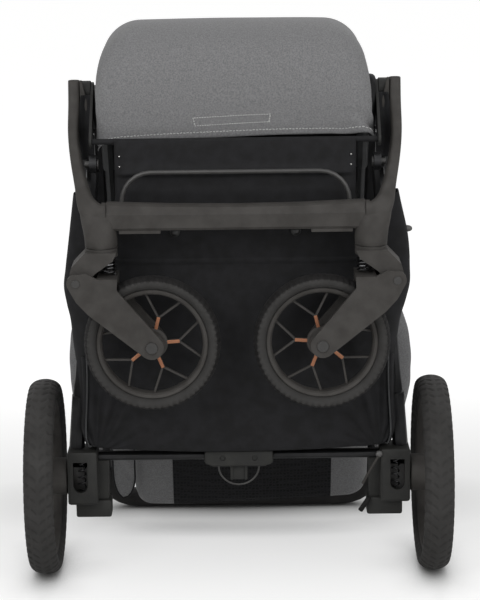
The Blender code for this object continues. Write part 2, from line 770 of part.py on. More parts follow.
def leg_line(side):
    """Axis of a rear leg, from above the axle bracket to its hinge eye."""
    foot = Vector((side * LEG_FOOT_X, REAR_Y - 0.005, BRACKET_HIGH + 0.0014))
    eye = Vector((side * (LEG_EYE_INNER + LEG_EYE_WIDTH / 2), FOLD_Y, FOLD_Z))
    return foot, eye


def rear_leg(tag, side, fold):
    foot, eye = leg_line(side)
    along = (eye - foot).normalized()
    leg = curve_to_mesh(tube([foot, eye - along * 0.0085], LEG_RADIUS))
    finish(leg, f"rear_leg_{tag}", "metal", fold)
    join(leg, curve_to_mesh(tube([foot + along * 0.0005, foot + along * 0.080], LEG_SLEEVE_RADIUS)))
    half = LEG_EYE_WIDTH / 2
    bore = LEG_PIN_RADIUS + 2 * GAP
    ring = [(bore, half), (LEG_EYE_RADIUS, half), (LEG_EYE_RADIUS, -half), (bore, -half)]
    join(leg, turned(eye, "x", ring, 20, True))


def window_outline(x):
    """Window with a rounded lower end, (x, z)."""
    half = WINDOW_WIDTH / 2
    low = arc((x, WINDOW_LOW + half), half, 180, 360, 8)
    return low + [(x + half, WINDOW_LOW + WINDOW_HEIGHT), (x - half, WINDOW_LOW + WINDOW_HEIGHT)]


def axle_bracket(tag, side, fold):
    """Hollow bracket with a window on its front, and the wheel carrier that slides in it."""
    middle_x = side * (BRACKET_INNER + BRACKET_OUTER) / 2
    middle_y = (BRACKET_FRONT + BRACKET_BACK) / 2
    size = Vector((BRACKET_OUTER - BRACKET_INNER, BRACKET_BACK - BRACKET_FRONT, BRACKET_HIGH - BRACKET_LOW))
    housing = box((middle_x, middle_y, (BRACKET_LOW + BRACKET_HIGH) / 2), size)
    bevel(housing, 0.004)
    finish(housing, f"axle_bracket_{tag}", "plastic", fold)
    lower = box((side * (BRACKET_INNER + 0.0075), REAR_Y + 0.005, BRACKET_LOW - 0.011), (0.051, 0.032, 0.026))
    bevel(lower, 0.003)
    join(housing, lower)
    inside = size - Vector((2 * BRACKET_WALL, 2 * BRACKET_WALL, 2 * BRACKET_WALL))
    cut(housing, box(housing.location, inside))
    window = flat((0, BRACKET_FRONT, 0), "y", [window_outline(side * WINDOW_X)], 4 * BRACKET_WALL)
    cut(housing, window)
    slot = 2 * (REAR_AXLE_RADIUS + RUN)
    slot_height = slot + SUSPENSION_TRAVEL
    slot_z = REAR_RADIUS + SUSPENSION_TRAVEL / 2
    cut(housing, box((side * BRACKET_OUTER, REAR_Y, slot_z), (3 * BRACKET_WALL, slot, slot_height)))

    travel = joint_empty(f"rear_travel_{tag}", (side * REAR_TRACK_HALF, REAR_Y, REAR_RADIUS), fold)
    block_low = BRACKET_LOW + BRACKET_WALL + RUN
    block_front = REAR_Y - 0.009
    block_back = BRACKET_BACK - BRACKET_WALL - RUN
    block_height = 0.044
    width = inside.x - 2 * RUN
    block = box((middle_x, (block_front + block_back) / 2, block_low + block_height / 2),
                (width, block_back - block_front, block_height))
    finish(block, f"wheel_carrier_{tag}", "metal", travel)
    foot_front = BRACKET_FRONT + BRACKET_WALL + RUN / 2
    foot_height = 0.006
    join(block, box((middle_x, (foot_front + block_front) / 2 + 0.001, block_low + foot_height / 2),
                    (width, block_front - foot_front + 0.002, foot_height)))
    stub_start = abs(middle_x) + width / 2 - 0.002
    stub_end = REAR_TRACK_HALF + REAR_HUB_OUTER
    join(block, cylinder((side * (stub_start + stub_end) / 2, REAR_Y, REAR_RADIUS), "x",
                         REAR_AXLE_RADIUS, stub_end - stub_start, 16))

    low = block_low + foot_height + REAR_SPRING_WIRE + GAP
    high = BRACKET_HIGH - BRACKET_WALL - REAR_SPRING_WIRE - GAP
    spring_y = foot_front + REAR_SPRING_RADIUS + REAR_SPRING_WIRE
    base = (middle_x + side * 0.001, spring_y, low)
    points = helix(base, REAR_SPRING_RADIUS, high - low, REAR_SPRING_TURNS)
    finish(tube(points, REAR_SPRING_WIRE, 1), f"rear_spring_{tag}", "spring", fold)
    report_coil_gap(f"rear spring {tag}", high - low, REAR_SPRING_TURNS, REAR_SPRING_WIRE)
    return travel


def rear_wheel(tag, side, travel):
    centre = (side * REAR_TRACK_HALF, REAR_Y, REAR_RADIUS)
    ends = sorted((side * REAR_HUB_OUTER, -side * REAR_HUB_INNER))
    wheel("rear", tag, centre, "x", REAR_RADIUS, REAR_TYRE_WIDTH, REAR_TYRE_HEIGHT,
          (REAR_HUB_RADIUS, ends[1], ends[0]), REAR_AXLE_RADIUS, math.radians(90.0), travel)
    cap_low = REAR_HUB_OUTER + GAP
    cap = [(0.0, cap_low + 0.005), (0.012, cap_low + 0.005), (0.017, cap_low + 0.002),
           (0.017, cap_low), (0.0, cap_low)]
    obj = turned(centre, "x", cap, 16, False)
    if side < 0:
        obj.rotation_euler = (0.0, math.radians(-90.0), 0.0)
    finish(obj, f"rear_hub_cap_{tag}", "plastic", travel)


def brake(fold):
    """Brake housing round the axle's middle, its wire guard and its pedal."""
    centre_y = REAR_Y - 0.006
    low = AXLE_TUBE_Z - BRAKE_HEIGHT / 2
    outline = [(BRAKE_HALF, BRAKE_HEIGHT / 2), (BRAKE_HALF, BRAKE_CHAMFER - BRAKE_HEIGHT / 2),
               (BRAKE_HALF - 2.4 * BRAKE_CHAMFER, -BRAKE_HEIGHT / 2)]
    outline += [(-x, z) for x, z in reversed(outline)]
    housing = flat((0, centre_y, AXLE_TUBE_Z), "y", [outline], BRAKE_DEPTH)
    bevel(housing, 0.0025)
    finish(housing, "brake_housing", "plastic", fold)
    for _, side in SIDES:
        front = centre_y - BRAKE_DEPTH / 2
        cut(housing, cylinder((side * 0.023, front, AXLE_TUBE_Z + 0.001), "y", 0.004, 0.005, 12))
    loop_y = centre_y - BRAKE_DEPTH / 2 + 0.006
    points = [Vector((BRAKE_LOOP_HALF * math.cos(math.pi * step / 12), loop_y,
                      low - GAP - BRAKE_LOOP_DROP * math.sin(math.pi * step / 12))) for step in range(13)]
    finish(tube(points, BRAKE_LOOP_RADIUS), "brake_guard", "metal", fold)
    hinge = joint_empty("brake_hinge", (0, loop_y + 0.007, low - 0.002), fold)
    plate = box((0, loop_y + 0.007, low - GAP - PEDAL_LENGTH / 2), (PEDAL_WIDTH, 0.004, PEDAL_LENGTH))
    bevel(plate, 0.001, 1)
    finish(plate, "brake_pedal", "plastic", hinge)
    for _, side in SIDES:
        rib = (side * 0.010, loop_y + 0.0045, low - GAP - PEDAL_LENGTH / 2)
        join(plate, box(rib, (0.003, 0.004, PEDAL_LENGTH - 0.001)))
    length = BRACKET_INNER - GAP - BRAKE_HALF - GAP
    for tag, side in SIDES:
        section = ring_points((0, 0), AXLE_TUBE_DEPTH / 2, AXLE_TUBE_HEIGHT / 2, 12, 0.8)
        middle = (side * (BRAKE_HALF + GAP + length / 2), REAR_Y, AXLE_TUBE_Z)
        finish(flat(middle, "x", [section], length), f"rear_axle_{tag}", "metal", fold)


def basket_ring(half, front, back, z, rise=0.0, inset=0.0):
    """Level of the basket; its sides may rise above its front."""
    middle = (0.0, REAR_Y + (front + back) / 2)
    ring = []
    for x, y in ring_points(middle, half - inset, (back - front) / 2 - inset, 28, 0.42):
        lift = rise * max(0.0, (abs(x) / half - 0.6) / 0.4)
        ring.append(Vector((x, y, z + lift)))
    return ring


def basket(fold):
    """Hanging fabric basket, open at its top, flattened as the folded frame leaves it."""
    floor_z = BRACKET_HIGH + GAP
    levels = [
        (0.2030, -0.030, 0.020, floor_z, 0.0),
        (0.2090, -0.036, 0.025, floor_z + 0.005, 0.0),
        (0.2130, -0.042, 0.032, 0.215, 0.0),
        (0.2170, -0.046, 0.037, 0.262, 0.0),
        (0.2250, -0.050, 0.041, 0.320, 0.0),
        (0.2370, -0.054, 0.037, 0.395, 0.0),
        (0.2440, -0.054, 0.024, 0.440, 0.0),
        (0.2450, -0.050, 0.019, BASKET_FLARE_Z, 0.0),
        (0.2420, -0.055, 0.010, 0.478, 0.010),
        (0.2360, -0.064, -0.004, BASKET_TOP_Z, 0.045),
    ]
    outer = [basket_ring(half, front, back, z, rise) for half, front, back, z, rise in levels]
    inner = [basket_ring(half, front, back, z, rise, BASKET_WALL) for half, front, back, z, rise in levels]
    for point in inner[0]:
        point.z += BASKET_WALL
    bag = loft(outer + list(reversed(inner)))
    finish(bag, "basket", "black_cloth", fold)
    for _, side in SIDES:
        foot, eye = leg_line(side)
        along = (eye - foot).normalized()
        cut(bag, curve_to_mesh(tube([foot - along * 0.0012, eye], LEG_SLEEVE_RADIUS + 2 * GAP)))


def handle():
    """Push handle, folded down behind the chair, with the backrest between its tubes."""
    hinge = joint_empty("handle_hinge", (0, HANDLE_Y, HANDLE_Z))
    _, _, length = handle_frame()
    plate_end = on_handle(0, HANDLE_PLATE_LENGTH)
    tip_radius = HANDLE_PLATE_RADIUS - 0.002
    tube_start = HANDLE_PLATE_LENGTH + tip_radius + GAP
    grip_start = length - HANDLE_CORNER - 0.012
    for tag, side in SIDES:
        plate_x = side * HANDLE_LAYERS["plate"]
        link = link_outline((HANDLE_Y, HANDLE_Z), HANDLE_PLATE_RADIUS, plate_end.yz, tip_radius)
        plate = flat((plate_x, 0, 0), "x", [link], HANDLE_PLATE)
        finish(plate, f"handle_knuckle_{tag}", "plastic", hinge)
        cut(plate, cylinder((plate_x, HANDLE_Y, HANDLE_Z), "x", BOLT_RADIUS + 3 * GAP, 0.03, 16))
        x = side * HANDLE_TUBE_X
        run = [on_handle(x, tube_start), on_handle(x, grip_start - GAP)]
        finish(tube(run, HANDLE_TUBE_RADIUS, 4), f"handle_tube_{tag}", "metal", hinge)
    bend = arc((HANDLE_TUBE_X - HANDLE_CORNER, length - HANDLE_CORNER), HANDLE_CORNER, 0, 90, 6)
    half = [(HANDLE_TUBE_X, grip_start)] + bend
    chain = [on_handle(x, s) for x, s in half + [(-x, s) for x, s in reversed(half)]]
    finish(tube(chain, HANDLE_GRIP_RADIUS, 4), "handle_grip", "rubber", hinge)
    backrest(hinge)
    return hinge


def backrest(hinge):
    wide = HANDLE_TUBE_X - HANDLE_TUBE_RADIUS - GAP
    reach = BACKREST_SET + 0.001
    stations = [
        (BACKREST_TOP, BACKREST_NARROW - 0.004, 0.009, 0.004),
        (BACKREST_TOP + 0.010, BACKREST_NARROW, 0.011, 0.006),
        (0.180, BACKREST_NARROW, 0.012, 0.010),
        (HOOD_ALONG, BACKREST_NARROW, 0.014, 0.010),
        (BACKREST_SHOULDER + 0.012, wide, reach, 0.010),
        (0.500, wide, reach, 0.012),
        (BACKREST_END - 0.040, wide, reach, 0.010),
        (BACKREST_END - 0.012, wide, 0.050, 0.008),
        (BACKREST_END, wide - 0.004, 0.044, 0.004),
    ]
    rings = []
    for along, half, depth, crown in stations:
        corner = min(BACKREST_CORNER, depth - 0.002)
        section = channel_ring(half, depth, corner, BACKREST_WALL, crown)
        rings.append([on_handle(x, along, down - BACKREST_SET) for x, down in section])
    finish(loft(rings), "backrest", "grey_cloth", hinge)


def seat_pan():
    """Padded board of the seat's front part, which hangs from a rod between the seat brackets."""
    hinge = joint_empty("seat_hinge", (0, SEAT_Y, SEAT_Z))
    stations = [(0.03, 0.88, 0.5), (0.08, 0.98, 0.85), (0.30, 1.0, 1.0), (0.60, 1.0, 1.15),
                (0.82, 1.0, 1.0), (0.96, 0.97, 0.8), (1.0, 0.90, 0.4)]
    rings = []
    for share, width, thick in stations:
        section = ring_points((0, SEAT_Y), PAN_HALF * width, PAN_THICKNESS / 2 * thick, 20, 0.5)
        rings.append([Vector((x, y, SEAT_Z - share * PAN_LENGTH)) for x, y in section])
    pan = loft(rings)
    finish(pan, "seat_pan", "black_cloth", hinge)
    rod_length = 2 * (HANDLE_LAYERS["bracket_inner"] - GAP)
    join(pan, cylinder((0, SEAT_Y, SEAT_Z), "x", PAN_ROD_RADIUS, rod_length, 12))


def hood(handle_hinge):
    """Fabric hood, a cap swung about a point on the handle tubes, and its two telescopic legs."""
    centre = on_handle(0, HOOD_ALONG)
    hinge = joint_empty("hood_hinge", centre, handle_hinge)
    outline = [(-0.60, -0.55), (-0.67, -0.03), (-0.615, 0.42), (-0.41, 0.75),
               (-0.03, 0.94), (0.40, 0.99), (0.90, 0.93)]
    line = smoothed([(0.0, HANDLE_Y + HOOD_REACH * y, HANDLE_Z + HOOD_REACH * z) for y, z in outline], 2)
    rings = []
    for index, point in enumerate(line):
        narrow = min(1.0, 1.7 * index / (len(line) - 1))
        half = HOOD_HALF + (HOOD_TOP_HALF - HOOD_HALF) * narrow ** 2
        outward = point - centre
        radius = outward.length
        outward.normalize()
        depth = radius - HOOD_INNER_RADIUS
        corner = min(HOOD_HEM_CORNER + (HOOD_TOP_CORNER - HOOD_HEM_CORNER) * narrow, depth - 0.003)
        section = channel_ring(half, depth, corner, HOOD_WALL, 0.003)
        rings.append([centre + outward * (radius - down) + Vector((x, 0, 0)) for x, down in section])
    finish(loft(rings), "hood", "grey_cloth", hinge)
    outward = Vector((0, math.cos(HOOD_LEG_ANGLE), math.sin(HOOD_LEG_ANGLE)))
    for tag, side in SIDES:
        base = Vector((side * HOOD_LEG_X, centre.y, centre.z))
        rod = [base + outward * 0.006, base + outward * (HOOD_SLEEVE_START + 0.01)]
        leg = curve_to_mesh(tube(rod, HOOD_ROD_RADIUS))
        finish(leg, f"hood_leg_{tag}", "metal", hinge)
        sleeve = [base + outward * HOOD_SLEEVE_START, base + outward * HOOD_SLEEVE_END]
        join(leg, curve_to_mesh(tube(sleeve, HOOD_SLEEVE_RADIUS)))
        join(leg, cylinder(base, "x", HOOD_EYE_RADIUS, 2 * HOOD_SLEEVE_RADIUS, 16))
        start = HOOD_LEG_X + HOOD_SLEEVE_RADIUS - 0.002
        end = HANDLE_TUBE_X - HANDLE_TUBE_RADIUS - GAP
        join(leg, cylinder((side * (start + end) / 2, centre.y, centre.z), "x", 0.005, end - start, 12))


clear_scene()
PARTS = new_collection("pushchair")
CUTTERS = new_collection("cutters")

front_frame()
FOLD = joint_empty("rear_fold", (0, FOLD_Y, FOLD_Z))
for TAG, SIDE in SIDES:
    caster(TAG, SIDE)
    rear_leg(TAG, SIDE, FOLD)
    rear_wheel(TAG, SIDE, axle_bracket(TAG, SIDE, FOLD))
brake(FOLD)
basket(FOLD)
HANDLE = handle()
seat_pan()
hood(HANDLE)
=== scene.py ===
"""Looks of the folded pushchair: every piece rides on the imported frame, in metres, +Z up."""
import json
import math

import bmesh
import bpy
from mathutils import Matrix, Vector, noise

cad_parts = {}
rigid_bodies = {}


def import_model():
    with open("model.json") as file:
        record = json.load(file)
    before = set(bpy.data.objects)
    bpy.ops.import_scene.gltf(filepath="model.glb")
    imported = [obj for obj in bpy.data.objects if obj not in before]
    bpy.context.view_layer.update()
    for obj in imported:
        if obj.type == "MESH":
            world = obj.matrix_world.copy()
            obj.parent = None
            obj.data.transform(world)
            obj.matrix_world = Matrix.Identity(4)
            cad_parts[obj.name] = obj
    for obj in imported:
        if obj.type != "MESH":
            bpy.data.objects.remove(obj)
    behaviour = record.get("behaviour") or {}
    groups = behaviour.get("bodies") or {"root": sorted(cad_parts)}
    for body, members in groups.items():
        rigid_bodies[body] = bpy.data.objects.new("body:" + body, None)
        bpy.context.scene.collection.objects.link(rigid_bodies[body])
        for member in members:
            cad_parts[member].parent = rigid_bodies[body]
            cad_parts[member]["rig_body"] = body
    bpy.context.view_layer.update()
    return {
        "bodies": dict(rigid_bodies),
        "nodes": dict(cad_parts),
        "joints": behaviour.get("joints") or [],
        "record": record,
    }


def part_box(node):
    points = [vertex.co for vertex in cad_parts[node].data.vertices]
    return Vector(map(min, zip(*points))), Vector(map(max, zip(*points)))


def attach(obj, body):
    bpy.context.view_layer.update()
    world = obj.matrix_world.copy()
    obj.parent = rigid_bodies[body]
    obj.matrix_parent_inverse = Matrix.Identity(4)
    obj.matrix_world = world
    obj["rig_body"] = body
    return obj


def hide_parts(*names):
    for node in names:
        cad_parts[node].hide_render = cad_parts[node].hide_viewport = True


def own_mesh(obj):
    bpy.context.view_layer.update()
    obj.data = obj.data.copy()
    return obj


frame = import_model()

# Camera at the photograph's angle: 3.1 m away on a portrait lens, 12 degrees above the horizon,
# and tilted a little, so that the right side of the chair stands slightly higher.
camera = bpy.data.objects.new("camera", bpy.data.cameras.new("camera"))
bpy.context.scene.collection.objects.link(camera)
camera.data.lens = 131.2
camera.data.sensor_width = 36.0
camera.data.clip_start = 0.1
camera.data.clip_end = 60.0
camera.location = (0.0044, -3.114, 1.0405)
camera.rotation_euler = (math.radians(78.0), 0.0, 0.0)
camera.rotation_euler.rotate_axis("Z", math.radians(-0.66))
bpy.context.scene.camera = camera

# Studio floor: a flat sheet of off-white paper, 60 m wide. To the camera it is darker and also glows, and
# that glow is cut by painted contact shade close to what stands on it and by a painted soft shadow in an
# oval under the folded chair, which doesn't follow the poses.
def linear(code):
    """Linear colour of an sRGB hex code."""
    parts = [int(code[index:index + 2], 16) / 255 for index in (1, 3, 5)]
    return tuple(c / 12.92 if c <= 0.04045 else ((c + 0.055) / 1.055) ** 2.4 for c in parts) + (1.0,)


def add(material, kind, inputs=None, **settings):
    """Shader node with its settings, and with inputs given as name: value or name: (node, output)."""
    node = material.node_tree.nodes.new(kind)
    for name, value in settings.items():
        setattr(node, name, value)
    for name, value in (inputs or {}).items():
        if isinstance(value, tuple) and hasattr(value[0], "outputs"):
            material.node_tree.links.new(value[0].outputs[value[1]], node.inputs[name])
        else:
            node.inputs[name].default_value = value
    return node


def feed(node, name, source):
    """Links another node's first output to a node's input."""
    node.id_data.links.new(source.outputs[0], node.inputs[name])


def new_material(name):
    """Empty material and its output node."""
    made = bpy.data.materials.new(name)
    made.use_nodes = True
    made.node_tree.nodes.clear()
    return made, add(made, "ShaderNodeOutputMaterial")


def mesh_piece(name, bm, material, smooth=True):
    """Object at the origin that holds a finished bmesh."""
    mesh = bpy.data.meshes.new(name)
    bm.to_mesh(mesh)
    bm.free()
    obj = bpy.data.objects.new(name, mesh)
    bpy.context.scene.collection.objects.link(obj)
    mesh.materials.append(material)
    if smooth:
        mesh.shade_smooth()
    return obj


paper, paper_out = new_material("white paper")
sheet_colour = add(paper, "ShaderNodeBsdfDiffuse", {"Color": linear("#eeeeed")})
# Painted soft shadow: an oval about the folded chair's footprint, in which the camera's glow drops to dark.
spot = add(paper, "ShaderNodeMapping", {"Vector": (add(paper, "ShaderNodeTexCoord"), "Object"),
                                        "Location": (0.0, -0.24, 0.0), "Scale": (0.42, 1.0, 1.0)})
far = add(paper, "ShaderNodeVectorMath", {0: (spot, 0)}, operation="LENGTH")
painted_shadow_oval = add(paper, "ShaderNodeValToRGB", {"Fac": (far, "Value")})
painted_shadow_oval.color_ramp.elements[0].position = 0.035
for share, level in ((0.12, 0.45), (0.20, 0.60), (0.80, 0.84)):
    painted_shadow_oval.color_ramp.elements.new(share).color = (level, level, level, 1.0)
painted_shadow_oval.color_ramp.elements[-1].color = (0.84, 0.84, 0.84, 1.0)
# Painted contact shade: ambient occlusion within 90 mm dims the camera's glow where things stand on the
# floor.
covered = add(paper, "ShaderNodeAmbientOcclusion", {"Distance": 0.09}, samples=8)
painted_contact_shade = add(paper, "ShaderNodeMapRange", {"Value": (covered, 1), "From Min": 0.25, "From Max": 0.85})
glow_level = add(paper, "ShaderNodeMath", {0: (painted_shadow_oval, 0), 1: (painted_contact_shade, 0)}, operation="MULTIPLY")
glow = add(paper, "ShaderNodeEmission", {"Color": linear("#ffffff"), "Strength": (glow_level, 0)})
shaded_colour = add(paper, "ShaderNodeBsdfDiffuse", {"Color": linear("#a4a4a3")})
both = add(paper, "ShaderNodeAddShader", {0: (shaded_colour, 0), 1: (glow, 0)})
watched = (add(paper, "ShaderNodeLightPath"), "Is Camera Ray")
feed(paper_out, 0, add(paper, "ShaderNodeMixShader", {0: watched, 1: (sheet_colour, 0), 2: (both, 0)}))
floor_bm = bmesh.new()
bmesh.ops.create_grid(floor_bm, x_segments=1, y_segments=1, size=30.0)
stage_floor = mesh_piece("stage_floor", floor_bm, paper)

world = bpy.data.worlds.new("studio")
bpy.context.scene.world = world
world.use_nodes = True
world.node_tree.nodes.clear()
surround = add(world, "ShaderNodeBackground", {"Color": linear("#ffffff"), "Strength": 0.42})
seen = add(world, "ShaderNodeBackground", {"Color": linear("#ffffff"), "Strength": 1.0})
path = add(world, "ShaderNodeLightPath")
shown = add(world, "ShaderNodeMath", {0: (path, "Is Camera Ray"), 1: (path, "Is Glossy Ray")},
            operation="MAXIMUM")
pick = add(world, "ShaderNodeMixShader", {0: (shown, 0), 1: (surround, 0), 2: (seen, 0)})
add(world, "ShaderNodeOutputWorld", {0: (pick, 0)})

# Four square area lamps, aimed at the middle of the folded chair.
lamps = (("key", (-1.5, -3.0, 2.3), 1.8, 44.0), ("fill", (1.9, -2.9, 1.6), 2.2, 34.0),
         ("back", (0.3, 2.2, 2.6), 1.8, 6.0), ("top", (0.0, -0.6, 3.2), 2.0, 10.0))
for name, place, size, power in lamps:
    lamp = bpy.data.lights.new(name, "AREA")
    lamp.size = size
    lamp.energy = power
    obj = bpy.data.objects.new(name, lamp)
    obj.location = place
    obj.rotation_euler = (Vector((0.0, 0.0, 0.4)) - Vector(place)).to_track_quat("-Z", "Y").to_euler()
    bpy.context.scene.collection.objects.link(obj)
bpy.context.scene.view_settings.view_transform = "Standard"

# Glass-filled nylon, injection moulded, black: crossbar, sockets, caster heads, forks, brackets and
# knuckles. A spark-eroded grain of about 0.7 mm leaves it matt, with a soft shine on rounded edges.
def principled(name, colour, roughness, **more):
    """Material whose Principled shader already has its plain values, and that shader."""
    made, output = new_material(name)
    shader = add(made, "ShaderNodeBsdfPrincipled", {"Base Color": linear(colour), "Roughness": roughness})
    for key, value in more.items():
        shader.inputs[key.replace("_", " ")].default_value = value
    feed(output, 0, shader)
    return made, shader


def ramp(material, value, *stops):
    """Colour ramp between two stops, each a position and an sRGB code."""
    made = add(material, "ShaderNodeValToRGB", {"Fac": value})
    for element, (position, code) in zip(made.color_ramp.elements, stops):
        element.position = position
        element.color = linear(code)
    return made


def tint(material, shader, place, scale, low, high, detail=3.0):
    """Uneven colour between two sRGB codes, by noise of so many spots per metre."""
    spots = add(material, "ShaderNodeTexNoise", {"Vector": place, "Scale": scale, "Detail": detail})
    feed(shader, "Base Color", ramp(material, (spots, 0), (0.35, low), (0.65, high)))


def relief(material, shader, strength, distance, height, **settings):
    """Bumpy look, by the height that a node gives out."""
    inputs = {"Strength": strength, "Distance": distance, "Height": height}
    feed(shader, "Normal", add(material, "ShaderNodeBump", inputs, **settings))


def grainy(name, low, high, roughness, grain_mm, depth, **more):
    """Moulded or coated surface: slightly uneven colour and shine, and a fine random grain."""
    made, shader = principled(name, high, roughness, **more)
    place = (add(made, "ShaderNodeTexCoord"), "Object")
    tint(made, shader, place, 45.0, low, high)
    rub = add(made, "ShaderNodeTexNoise", {"Vector": place, "Scale": 30.0, "Detail": 4.0})
    shine = add(made, "ShaderNodeMapRange", {"Value": (rub, 0), "From Min": 0.3, "From Max": 0.7,
                                             "To Min": roughness - 0.06, "To Max": roughness + 0.06})
    feed(shader, "Roughness", shine)
    grain = add(made, "ShaderNodeTexNoise", {"Vector": place, "Scale": 1000.0 / grain_mm, "Detail": 2.0})
    relief(made, shader, depth, 0.0002, (grain, 0))
    return made


nylon = grainy("black nylon, moulded", "#393735", "#43413f", 0.62, 0.7, 0.6, IOR=1.5, Specular_IOR_Level=0.16)


def merged_copy(node):
    """The CAD node's shape with its triangles merged, as a bmesh."""
    bm = bmesh.new()
    bm.from_mesh(frame["nodes"][node].data)
    bmesh.ops.remove_doubles(bm, verts=bm.verts, dist=0.00002)
    return bm


def stand_in(obj, node):
    """The piece stands for a CAD node: it rides where that rides, and the node is hidden."""
    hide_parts(node)
    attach(obj, frame["nodes"][node]["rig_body"])


def beveled(obj, width, segments=2, sharp=30.0, limit=30.0):
    """Shades edges past one angle as sharp, and rounds those past the other by a modifier."""
    obj.data.set_sharp_from_angle(angle=math.radians(sharp))
    edges = obj.modifiers.new("Edges", "BEVEL")
    edges.width = width
    edges.segments = segments
    edges.limit_method = "ANGLE"
    edges.angle_limit = math.radians(limit)
    edges.harden_normals = True
    return obj


def softened(node, edge, material, segments=2, angle=35.0):
    """Stand-in for a CAD node with its edges rounded."""
    bm = merged_copy(node)
    bmesh.ops.dissolve_limit(bm, angle_limit=math.radians(1.0), verts=bm.verts, edges=bm.edges)
    stand_in(beveled(mesh_piece(node + "_rounded", bm, material), edge, segments, angle, angle), node)


softened("crossbar", 0.0014, nylon, 2, 13.0)
# Seat brackets and handle knuckles: a darker copy of the nylon, which paints the shade on these tucked-in
# parts.
nylon_darkened_for_shade = grainy("black nylon, darkened as painted shade", "#1b1b1a", "#222221", 0.68, 0.7, 0.6, Specular_IOR_Level=0.3)
for node in ("seat_bracket_l", "seat_bracket_r", "handle_knuckle_l", "handle_knuckle_r"):
    softened(node, 0.0010, nylon_darkened_for_shade)

# Sockets of the casters: the arm's corner runs down into them, so each is a loft of rounded rings
# from the swivel seam up into the corner.
def lofted(rings):
    """Skin over rings of points, each with as many as the next, with flat ends."""
    bm = bmesh.new()
    edges = []
    for ring in rings:
        verts = [bm.verts.new(point) for point in ring]
        edges += [bm.edges.new((verts[index - 1], verts[index])) for index in range(len(verts))]
    bmesh.ops.bridge_loops(bm, edges=edges)
    bmesh.ops.holes_fill(bm, edges=[edge for edge in bm.edges if edge.is_boundary], sides=0)
    bmesh.ops.recalc_face_normals(bm, faces=bm.faces)
    return bm


def oval(centre, half_x, half_y, power):
    """Level ring of 32 points; a power under 1 squares it."""
    ring = []
    for index in range(32):
        angle = 2 * math.pi * index / 32
        x = math.copysign(abs(math.cos(angle)) ** power, math.cos(angle))
        y = math.copysign(abs(math.sin(angle)) ** power, math.sin(angle))
        ring.append(Vector((centre[0] + half_x * x, centre[1] + half_y * y, centre[2])))
    return ring


SIDES = (("l", -1.0), ("r", 1.0))
SWIVEL_SEAM = 0.4963
socket_levels = ((SWIVEL_SEAM, 0.1830, 0.0212, 1.0), (0.4970, 0.1830, 0.0220, 1.0),
                 (0.5080, 0.1832, 0.0224, 0.98), (0.5190, 0.1842, 0.0228, 0.92),
                 (0.5280, 0.1862, 0.0226, 0.85), (0.5370, 0.1893, 0.0210, 0.80),
                 (0.5450, 0.1925, 0.0185, 0.80))
for tag, side in SIDES:
    rings = []
    for z, x, half, power in socket_levels:
        centre = (side * x, -0.197 + (0.022 - half) * 0.5, z)
        rings.append(oval(centre, half, 0.022 - (z - SWIVEL_SEAM) * 0.09, power))
    socket = mesh_piece(f"caster_socket_{tag}_smooth", lofted(rings), nylon)
    socket.data.set_sharp_from_angle(angle=math.radians(50.0))
    stand_in(socket, f"caster_socket_{tag}")

# Front arms: hollow nylon mouldings that sweep from the crossbar's ends up to the folding hinges.
# They are rounded all along, so the copy is subdivided, and only its two flat ends stay sharp.
for tag in "lr":
    bm = merged_copy(f"front_arm_{tag}")
    bmesh.ops.join_triangles(bm, faces=bm.faces, angle_face_threshold=math.radians(40.0),
                             angle_shape_threshold=math.radians(60.0))
    keen = bm.edges.layers.float.new("crease_edge")
    for edge in bm.edges:
        if edge.is_manifold and edge.calc_face_angle() > math.radians(55.0):
            edge[keen] = 1.0
    arm = mesh_piece(f"front_arm_{tag}_smooth", bm, nylon)
    rounding = arm.modifiers.new("Rounding", "SUBSURF")
    rounding.levels = 2
    rounding.render_levels = 2
    stand_in(arm, f"front_arm_{tag}")

# Tubes: drawn aluminium, black anodised satin: legs, axle and handle; the hood's legs are satin grey-black
# nylon.
anodised = grainy("black anodised aluminium, drawn", "#2b2b2c", "#333334", 0.42, 1.5, 0.15, Metallic=0.85)
for node in ("rear_leg_l", "rear_leg_r", "rear_axle_l", "rear_axle_r", "handle_tube_l", "handle_tube_r"):
    softened(node, 0.0006, anodised)
sleeve_nylon = grainy("grey-black nylon, satin", "#343536", "#3d3e3f", 0.55, 1.0, 0.4,
                      Specular_IOR_Level=0.35)
for node in ("hood_leg_l", "hood_leg_r"):
    softened(node, 0.0008, sleeve_nylon)

# Steel wire and fasteners: bent and turned steel under a satin black powder coat.
powder = grainy("powder-coated steel, black", "#2c2b2a", "#343332", 0.45, 0.9, 0.4, Specular_IOR_Level=0.5)
for node in ("wire_bow", "brake_guard", "handle_bolt_l", "handle_bolt_r", "leg_pin_l", "leg_pin_r",
             "fork_pin_l", "fork_pin_r", "front_axle_l", "front_axle_r", "wheel_carrier_l",
             "wheel_carrier_r"):
    softened(node, 0.0004, powder, 1)

# Caster heads and forks: the same nylon, thicker and rounder at their edges.
for tag in "lr":
    softened(f"caster_head_{tag}", 0.0018, nylon, 3)
    softened(f"fork_{tag}", 0.0022, nylon, 3)

# Springs: blackened wound steel wire. Their CAD coils have the right shape and only get the metal. At
# the far end of the suspension they are shorter by its stroke.
bright = grainy("spring steel, wound wire, blackened", "#4b4b4c", "#5d5d5e", 0.32, 2.0, 0.1, Metallic=1.0)
for node in ("caster_spring_l", "caster_spring_r", "rear_spring_l", "rear_spring_r"):
    cad_spring = frame["nodes"][node]
    cad_spring.data.materials.clear()
    cad_spring.data.materials.append(bright)
    cad_spring.data.shade_smooth()
    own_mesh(cad_spring)

# Tyres: solid polyurethane foam, moulded, dark and dull. The front ones have a sawtooth of small
# blocks on both shoulders, the rear ones fine chevron sipes and lugs along the shoulders.
rubber = grainy("polyurethane foam tyre, moulded", "#2d2c2b", "#343332", 0.78, 0.9, 0.8,
                Specular_IOR_Level=0.3)
